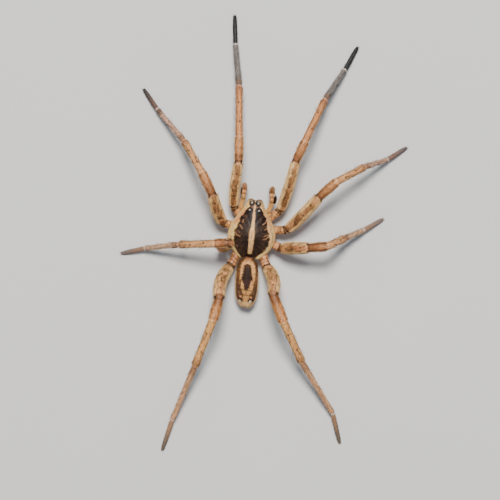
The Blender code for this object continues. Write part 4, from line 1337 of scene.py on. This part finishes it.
def away_from_the_axis(points):
    """Outwards from the axis, and towards the rear."""
    ones = np.ones(len(points))
    return np.column_stack([np.sign(points[:, 0] - axis_x(points[:, 1])), -1.3 * ones, 0.2 * ones])


fringe = body_hairs(back, away_from_the_axis, one_colour(232, 210, 184), on_the_rim,
                    count=2600, seed=628, length=0.30, radius=0.012, rise=42)
short = body_hairs(back, rearwards, abdomen_colour,
                   count=14500, seed=620, length=0.19, radius=0.0125, rise=17)
long = body_hairs(back, rearwards, abdomen_colour,
                  count=1200, seed=624, length=0.42, radius=0.011, rise=30, tone=1.1)
abdomen_coat = coat_piece("abdomen_coat", [short, long, fringe], HAIR_FINISH)
print("abdomen volume, mm3:", round(signed_volume(abdomen), 2),
      "coat:", round(signed_volume(abdomen_coat), 3))

# %% [markdown]
# Eyes
#
# A wolf spider has four small eyes in a row low on its face, two large ones above them and two more
# behind these. They are clear lenses over a dark cup, so a dark ball with a polished coat shows the
# lamp as a sharp white spot. A soft pale spot near the top is also painted into their colour, a
# painted highlight that widens that glint, strongest on the rear eyes.

# %% Set the eyes
def ball(name, centre, half, finish, colour, rings=24, around=36, form=None):
    """A closed ball: cosines and sines of steepness and turn, stretched to its half sizes, or the
    form that a function makes of them."""
    steep = np.linspace(-math.pi / 2, math.pi / 2, rings + 2)[1:-1]
    angle = np.linspace(-math.pi, math.pi, around, endpoint=False)
    rise, turn = np.meshgrid(steep, angle, indexing="ij")
    shape = np.stack([np.cos(rise) * np.cos(turn), np.cos(rise) * np.sin(turn), np.sin(rise)], axis=-1)
    shape = shape if form is None else form(shape)
    return closed_piece(name, np.array(centre) + shape * np.array(half), colour, finish)


EYE_BLACK = (20, 14, 12)
PAINTED_HIGHLIGHT_WARMTH = np.array([1.0, 0.84, 0.70])
PAINTED_HIGHLIGHT_AT = unit(np.array([0.0, 0.1, 1.0]))
# How strong and how wide each pair's painted highlight is
EYE_PAINTED_HIGHLIGHT = {"eye_front_middle": (0.02, 0.4), "eye_front_side": (0.02, 0.4),
             "eye_rear_middle": (0.26, 0.56), "eye_rear_side": (0.36, 0.46)}


def eye_colour(centre, radius, painted_highlight, wide):
    """Nearly black, with a soft pale painted highlight near the top, where the lamp's glint falls."""
    def colour(points):
        gap = np.linalg.norm((points - centre) / radius - PAINTED_HIGHLIGHT_AT, axis=1)
        # A pale spot near the top is painted into the colour: a painted highlight.
        return paint(*EYE_BLACK) + painted_highlight * spot(gap, wide, 0.9)[:, None] * PAINTED_HIGHLIGHT_WARMTH
    return colour


def eye_finish():
    """Dark glass: nearly black with a brown depth, the painted highlight from the marks, and a polished
    coat.
    """
    finish, tree, shader = new_finish("eye_glass", Roughness=0.12, Specular_IOR_Level=0.5, Coat_Weight=1.0,
                                      Coat_IOR=1.68, Coat_Roughness=0.08)
    both = vector_math(tree, "ADD")
    place = tree.nodes.new("ShaderNodeTexCoord")
    depth = new_node(tree, "TexNoise", Scale=5000.0, Detail=3.0)
    tone = two_tones(tree, (0.35, 0.75), ((0.0015, 0.001, 0.001, 1.0), (0.02, 0.008, 0.005, 1.0)))
    link_all(tree, [
        (place.outputs["Object"], depth.inputs["Vector"]),
        (depth.outputs["Fac"], tone.inputs["Fac"]),
        (tone.outputs["Color"], both.inputs[0]),
        (stored(tree, "Marks"), both.inputs[1]),
        (both.outputs["Vector"], shader.inputs["Base Color"]),
    ])
    return finish


EYE_FINISH = eye_finish()
for row, (half, y, z, radius) in EYES.items():
    for label, side in SIDES.items():
        centre = np.array([side * half, y, z])
        eye = ball(row + "_glass_" + label, centre, [radius] * 3, EYE_FINISH,
                   eye_colour(centre, radius, *EYE_PAINTED_HIGHLIGHT[row]))
        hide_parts(row + "_" + label)
print("eye volume, mm3:", round(signed_volume(eye), 4))

# %% [markdown]
# Palps
#
# The palps are short feelers beside the jaws, built like small legs of six pieces. Their tips are
# tan, with a few dark bristles. Each carries a dense brush of dark hairs on its outer side, over dark
# skin: painted shade that stands for the shadow in the gap between the palp and the first leg.

# %% Make the palps
PALP_HIP = ((0.54, 1.52, 1.58), (1.14, 2.00, 1.74))
PALP_PATHS = {
    "right": [(1.46, 2.04, 1.90), (1.64, 2.48, 2.32), (1.73, 3.05, 2.98), (1.71, 3.50, 3.10),
              (1.64, 3.88, 2.72), (1.66, 4.55, 2.02)],
    "left": [(-1.45, 2.06, 1.92), (-1.46, 2.52, 2.36), (-1.34, 3.12, 2.98), (-1.32, 3.60, 3.08),
             (-1.32, 3.96, 2.70), (-1.35, 4.64, 2.00)],
}
PALP_NUMBERS = [0.0, 0.8, 1.0, 1.5, 2.0, 3.0, 4.0, 5.0]
PALP_SIZES = ((0.0, 0.3, 0.8, 1.0, 1.2, 1.6, 2.0, 2.1, 2.6, 3.0, 3.1, 3.6, 4.0, 4.1, 4.4, 4.75, 4.93, 5.0),
              (0.20, 0.27, 0.25, 0.20, 0.225, 0.235, 0.215, 0.22, 0.235, 0.21, 0.22, 0.235, 0.205, 0.235,
               0.25, 0.22, 0.16, 0.08))
PALP_SOFTNESS = 0.06
PALP_TIP = {"left": (198, 160, 126), "right": (182, 144, 98)}
# The dark brush of each palp, painted shade for the gap beside the first leg: from and to as piece
# numbers, its length, and the angle it points to
PALP_SHADOW_BRUSH = {"left": (2.9, 4.3), "right": (1.9, 3.2)}
PALP_SHADOW_BRUSH_LENGTH = {"left": 0.26, "right": 0.50}
SHADOW_BRUSH_ANGLE = 1.75
SHADOW_BRUSH_SPREAD = 0.9


def palp_colour(label):
    """Tan palps with dark specks, dark arcs at the joints, and dark skin as painted shade under the brush.
    """
    def colour(guide, at, angle):
        number = read_guide(guide, "number", at)
        fine = mottle(pulled_straight(guide, at, angle), 0.25, 31)
        skin = Paintwork(len(at), (208, 180, 124))
        skin.lay((206, 166, 112), step(number, 3.0, 0.8))
        skin.lay(PALP_TIP[label], step(number, 4.0, 0.4))
        skin.lay((176, 132, 90), spot(number - 2.6, 0.7, 0.8) * 0.7)
        skin.lay((128, 90, 62), step(fine, 0.25, 0.5) * (0.35 + 0.25 * step(number, 3.8, 0.6)))
        # Painted shade: dark skin on the outer side, where the gap beside the first leg lies in shadow.
        start, end = PALP_SHADOW_BRUSH[label]
        shadow_brush = step(number, start, 0.2) * step(end - number, 0.0, 0.2)
        skin.lay((94, 62, 55), shadow_brush * spot(angle - SIDES[label] * SHADOW_BRUSH_ANGLE, 0.55, 0.4))
        for joint in (2.0, 3.0, 4.0):
            gap = at - distance_at(guide, joint)
            skin.lay(RING, spot(gap - 0.05, 0.06) * 0.75 * spot(angle, 1.7))
        return skin.finished()

    return colour


def palp_hairs(label, guide, where, side=None, *, count, seed, length, radius, rise, tone=1.0):
    """Hairs of a palp between two piece numbers, all round or only on one side."""
    draw = np.random.default_rng(seed)
    pair = spread(count, seed)
    start, end = distance_at(guide, where)
    at = start + pair[:, 0] * (end - start)
    angle = (pair[:, 1] * 2 - 1) * math.pi
    if side is not None:
        angle = side * SHADOW_BRUSH_ANGLE + (pair[:, 1] - 0.5) * SHADOW_BRUSH_SPREAD
    marks = palp_colour(label)(guide, at, angle) * (draw.uniform(0.8, 1.25, count) * tone)[:, None]
    return limb_blades(guide, at, angle, pair[:, 1], length * draw.uniform(0.7, 1.3, count),
                       np.full(count, radius), np.radians(rise * draw.uniform(0.6, 1.4, count)),
                       draw.normal(0.0, 0.25, count), marks, draw.uniform(1.0, 1.3, count))


for label, side in reversed(SIDES.items()):
    hip = np.array(PALP_HIP) * [side, 1.0, 1.0]
    guide = limb_guide(np.vstack([hip, PALP_PATHS[label]]), PALP_NUMBERS, (0.0, 1.0, 0.0))
    guide["radius"] = averaged(np.interp(guide["number"], *PALP_SIZES),
                               PALP_SOFTNESS / ROUNDING * SAMPLES_PER_ROUNDING)
    palp = limb_skin("palp_" + label, guide, palp_colour(label), LIMB_FINISH, around=36, spacing=0.05)
    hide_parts("palp_hip_" + label, "palp_arm_" + label, "palp_tip_" + label)
    fur = palp_hairs(label, guide, (0.0, 5.0), count=2600, seed=640, length=0.16, radius=0.0115, rise=22)
    tip_fur = palp_hairs(label, guide, (4.0, 5.0), count=1100, seed=641, length=0.26, radius=0.012, rise=28)
    bristles = palp_hairs(label, guide, (2.8, 4.6),
                          count=30, seed=642, length=0.60, radius=0.020, rise=55, tone=0.15)
    # A brush of dark hairs that stands for the shadow in the gap beside the first leg: painted shade.
    shadow_brush = palp_hairs(label, guide, PALP_SHADOW_BRUSH[label], side,
                       count=560, seed=643, length=PALP_SHADOW_BRUSH_LENGTH[label], radius=0.014, rise=62)
    palp_coat = coat_piece("palp_coat_" + label, [fur, tip_fur, bristles, shadow_brush], HAIR_FINISH)
print("palp volume, mm3:", round(signed_volume(palp), 3), "coat:", round(signed_volume(palp_coat), 4))

# %% [markdown]
# Jaws and fangs
#
# Below the face hang two stout jaws, each with a curved fang folded inwards at its end. A jaw starts
# as a ball that a function squares up and leans forward, and a fang is a short limb without hairs.

# %% Make the jaws
JAW_AT = (0.455, 2.76)
JAW_Z = (0.92, 2.34)
JAW_HALF = (0.385, 0.43)
JAW_LEAN = 0.14
JAW_GRID = (40, 48)
FANG_PATH = [(0.56, 2.94, 0.78), (0.44, 2.94, 0.70), (0.28, 2.90, 0.66), (0.10, 2.80, 0.72)]
FANG_NUMBERS = (0.0, 0.3, 0.65, 1.0)
FANG_SIZES = ((0.0, 0.5, 1.0), (0.145, 0.10, 0.025))


def jaw_form(unit_points):
    """A stout jaw: rings as wide as the cube root of 1 less the cube of their height, fuller towards
    the top, and shifted forward the lower they lie."""
    along = unit_points[..., 2]
    ring = np.linalg.norm(unit_points[..., :2], axis=-1, keepdims=True)
    around = unit_points[..., :2] / np.maximum(ring, 1e-9)
    size = (1 - np.abs(along) ** 3.0) ** (1 / 3.0) * (1 + 0.10 * along)
    y = around[..., 1] * size - JAW_LEAN / JAW_HALF[1] * along
    return np.stack([around[..., 0] * size, y, along], axis=-1)


def jaw_colour(points):
    """Dark chestnut, lighter towards the top."""
    skin = Paintwork(len(points), (74, 42, 28))
    skin.lay((122, 76, 46), step(points[:, 2], 1.75, 0.8) * 0.7)
    skin.lay((48, 28, 20), step(mottle(points, 0.2, 41), 0.2, 0.6) * 0.5)
    return skin.finished()


def jaw_hair_colour(points):
    """Golden hairs, browner near the end of the jaw."""
    hairs = Paintwork(len(points), (176, 136, 88))
    hairs.lay((120, 80, 52), step(-points[:, 2], -1.3, 0.4))
    return hairs.light


def downwards(points):
    """Down the jaw."""
    return np.tile([0.0, 0.15, -1.0], (len(points), 1))


def piece_grid(piece, rings, around):
    """The grid of a finished ball, back in millimetres from the middle of the carapace."""
    points = np.empty(len(piece.data.vertices) * 3, np.float32)
    piece.data.vertices.foreach_get("co", points)
    return (points.reshape(-1, 3)[:rings * around].astype(float) / MM - BODY_AT).reshape(rings, around, 3)


def plain_colour(*tints):
    """A limb colour that runs from the first tint at the root to the last at the tip."""
    light = np.array([paint(*tint) for tint in tints])
    places = np.linspace(0.0, 1.0, len(tints))

    def colour(guide, at, angle):
        return np.column_stack([np.interp(at / guide["length"], places, channel) for channel in light.T])

    return colour


for label, side in SIDES.items():
    centre = (side * JAW_AT[0], JAW_AT[1], sum(JAW_Z) / 2)
    half = (*JAW_HALF, (JAW_Z[1] - JAW_Z[0]) / 2 - 0.02)
    jaw = ball("jaw_" + label, centre, half, JAW_FINISH, jaw_colour, *JAW_GRID, jaw_form)
    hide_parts("chelicera_" + label)
    jaw_hair = body_hairs(piece_grid(jaw, *JAW_GRID), downwards, jaw_hair_colour,
                          count=2200, seed=660, length=0.22, radius=0.012, rise=18)
    jaw_coat = coat_piece("jaw_coat_" + label, [jaw_hair], HAIR_FINISH)
    fang_path = np.array(FANG_PATH) * [side, 1.0, 1.0]
    guide = limb_guide(fang_path, FANG_NUMBERS, (-side, 0.0, 0.0), rounding=0.04)
    guide["radius"] = np.interp(guide["number"], *FANG_SIZES)
    fang = limb_skin("fang_horn_" + label, guide, plain_colour((34, 20, 18), (96, 34, 22)), SPINE_FINISH,
                     around=20, spacing=0.03)
    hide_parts("fang_" + label)
print("jaw volume, mm3:", round(signed_volume(jaw), 3), "coat:", round(signed_volume(jaw_coat), 4),
      "fang:", round(signed_volume(fang), 4))

# %% [markdown]
# The underside
#
# Behind the jaws lie the small lip and the sternum, the shield between the hips. A soft grey-brown
# membrane closes the gap between sternum and carapace, where the hips come out.

# %% Make the underside
STERNUM_CENTRE = (0.0, -0.55, 1.645)
STERNUM_HALF = (1.04, 1.60, 0.47)
STERNUM_GRID = (40, 56)
MEMBRANE_CENTRE = (0.0, -0.45, 2.12)
MEMBRANE_HALF = (1.72, 2.25, 0.26)
LIP_CENTRE = (0.0, 1.40, 1.50)
LIP_HALF = (0.25, 0.25, 0.23)


def sternum_form(unit_points):
    """A rounded shield: a ball whose width and height are raised to the power 0.7, which fills its
    edge, and whose width tapers to the rear."""
    soft = np.sign(unit_points) * np.abs(unit_points) ** 0.7
    taper = 1.0 - 0.16 * np.clip(-unit_points[..., 1], 0.0, 1.0)
    return np.stack([soft[..., 0] * taper, unit_points[..., 1], soft[..., 2]], axis=-1)


def sternum_colour(points):
    """Light brown with darker smudges and a pale middle."""
    skin = Paintwork(len(points), (176, 128, 80))
    skin.lay((120, 82, 52), step(mottle(points, 0.5, 51), 0.1, 0.6) * 0.6)
    skin.lay((202, 168, 118), spot(points[:, 0], 0.3, 0.8) * 0.6)
    return skin.light


sternum = ball("sternum_skin", STERNUM_CENTRE, STERNUM_HALF, BELLY_FINISH, sternum_colour, *STERNUM_GRID,
               sternum_form)
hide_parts("sternum")
sternum_hair = body_hairs(piece_grid(sternum, *STERNUM_GRID), rearwards, sternum_colour,
                          count=3000, seed=670, length=0.2, radius=0.012, rise=20)
coat_piece("sternum_coat", [sternum_hair], HAIR_FINISH)

membrane = ball("side_membrane", MEMBRANE_CENTRE, MEMBRANE_HALF, BELLY_FINISH, one_colour(168, 138, 112),
                rings=30, around=64)
lip = ball("lip", LIP_CENTRE, LIP_HALF, BELLY_FINISH, one_colour(120, 74, 48), rings=24, around=32)
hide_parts("labium")
print("underside volume, mm3:", round(signed_volume(sternum), 2))

# %% [markdown]
# Waist, spinnerets and claws
#
# A thin stalk joins the two halves of the body. At the very end of the abdomen two short spinnerets
# show. Each foot ends in a pair of small curved claws.

# %% Make the waist, the spinnerets and the claws
WAIST_PATH = [(0.0, -2.05, 1.80), (0.0, -2.6, 1.86), (0.0, -3.3, 1.94)]
WAIST_RADIUS = 0.20
SPINNERET_AT = (0.17, -8.10, 1.12)
SPINNERET_LENGTH = 0.42
SPINNERET_SIZES = ((0, 0.5, 0.85, 1), (0.12, 0.13, 0.11, 0.06))
CLAW_LENGTH = 0.26
CLAW_SPLAY = 0.35
CLAW_GAP = 0.05
CLAW_SIZES = ((0, 1), (0.035, 0.008))
CLAW_BOW = 0.06
CLAW_DROP = 0.02
CLAW_FLOOR = 0.03

guide = limb_guide(WAIST_PATH, [0, 0.5, 1], (0.0, -1.0, 0.0))
guide["radius"] = np.full(len(guide["at"]), WAIST_RADIUS)
waist = limb_skin("waist", guide, plain_colour((150, 110, 80), (170, 128, 92)), LIMB_FINISH,
                  around=28, spacing=0.05)
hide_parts("pedicel")

for label, side in SIDES.items():
    start = np.array([axis_x(SPINNERET_AT[1]) + side * SPINNERET_AT[0], *SPINNERET_AT[1:]])
    toward = unit(np.array([0.12 * side, -1.0, -0.18]))
    path = [start + reach * toward for reach in (-0.1, 0.5 * SPINNERET_LENGTH, SPINNERET_LENGTH - 0.02)]
    guide = limb_guide(path, [0, 0.5, 1], toward, rounding=0.04)
    guide["radius"] = np.interp(guide["number"], *SPINNERET_SIZES)
    spinneret = limb_skin("spinneret_skin_" + label, guide, plain_colour((234, 214, 176), (176, 140, 100)),
                          LIMB_FINISH, around=24, spacing=0.03)
    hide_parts("spinneret_" + label)

share = np.linspace(0.0, 1.0, 6)[:, None]
for name, guide in GUIDES.items():
    tip, along, side, back = [guide[key][-1] for key in ("middle", "along", "side", "back")]
    for ending, way in (("_a", -1.0), ("_b", 1.0)):
        line = tip + CLAW_GAP * (way * side - along)
        line = line + (CLAW_BOW * np.sin(math.pi * share) - CLAW_DROP) * back
        line = line + share * CLAW_LENGTH * (along + way * CLAW_SPLAY * side)
        line[:, 2] = np.maximum(line[:, 2], CLAW_FLOOR)
        claw_guide = limb_guide(line, share[:, 0], along, rounding=0.02)
        claw_guide["radius"] = np.interp(claw_guide["number"], *CLAW_SIZES)
        claw = limb_skin("claw_" + name + ending, claw_guide, plain_colour((60, 40, 32), (30, 20, 18)),
                         SPINE_FINISH, around=10, spacing=0.03)
print("claw volume, mm3:", round(signed_volume(claw), 5))

# %% [markdown]
# The table
#
# The table under the spider is not part of it. It is a wide pale plane whose tone wanders a little,
# as painted board does.

# %% Lay the table
TABLE_SIZE = 1.6
TABLE_DROP = 0.00002


def table_finish():
    """Pale board with a faint cloudy tone."""
    finish, tree, shader = new_finish("pale_board", Specular_IOR_Level=0.2, Roughness=0.8)
    place = tree.nodes.new("ShaderNodeTexCoord")
    cloud = new_node(tree, "TexNoise", Scale=40.0, Detail=2.0)
    tone = two_tones(tree, (0.0, 1.0), ((0.563, 0.566, 0.556, 1.0), (0.598, 0.598, 0.591, 1.0)))
    link_all(tree, [
        (place.outputs["Object"], cloud.inputs["Vector"]),
        (cloud.outputs["Fac"], tone.inputs["Fac"]),
        (tone.outputs["Color"], shader.inputs["Base Color"]),
    ])
    return finish


bpy.ops.mesh.primitive_plane_add(size=TABLE_SIZE, location=(0.0, 0.0, -TABLE_DROP))
table = bpy.context.object
table.name = "pale_table"
table.data.materials.append(table_finish())
print("table laid, metres wide:", TABLE_SIZE)
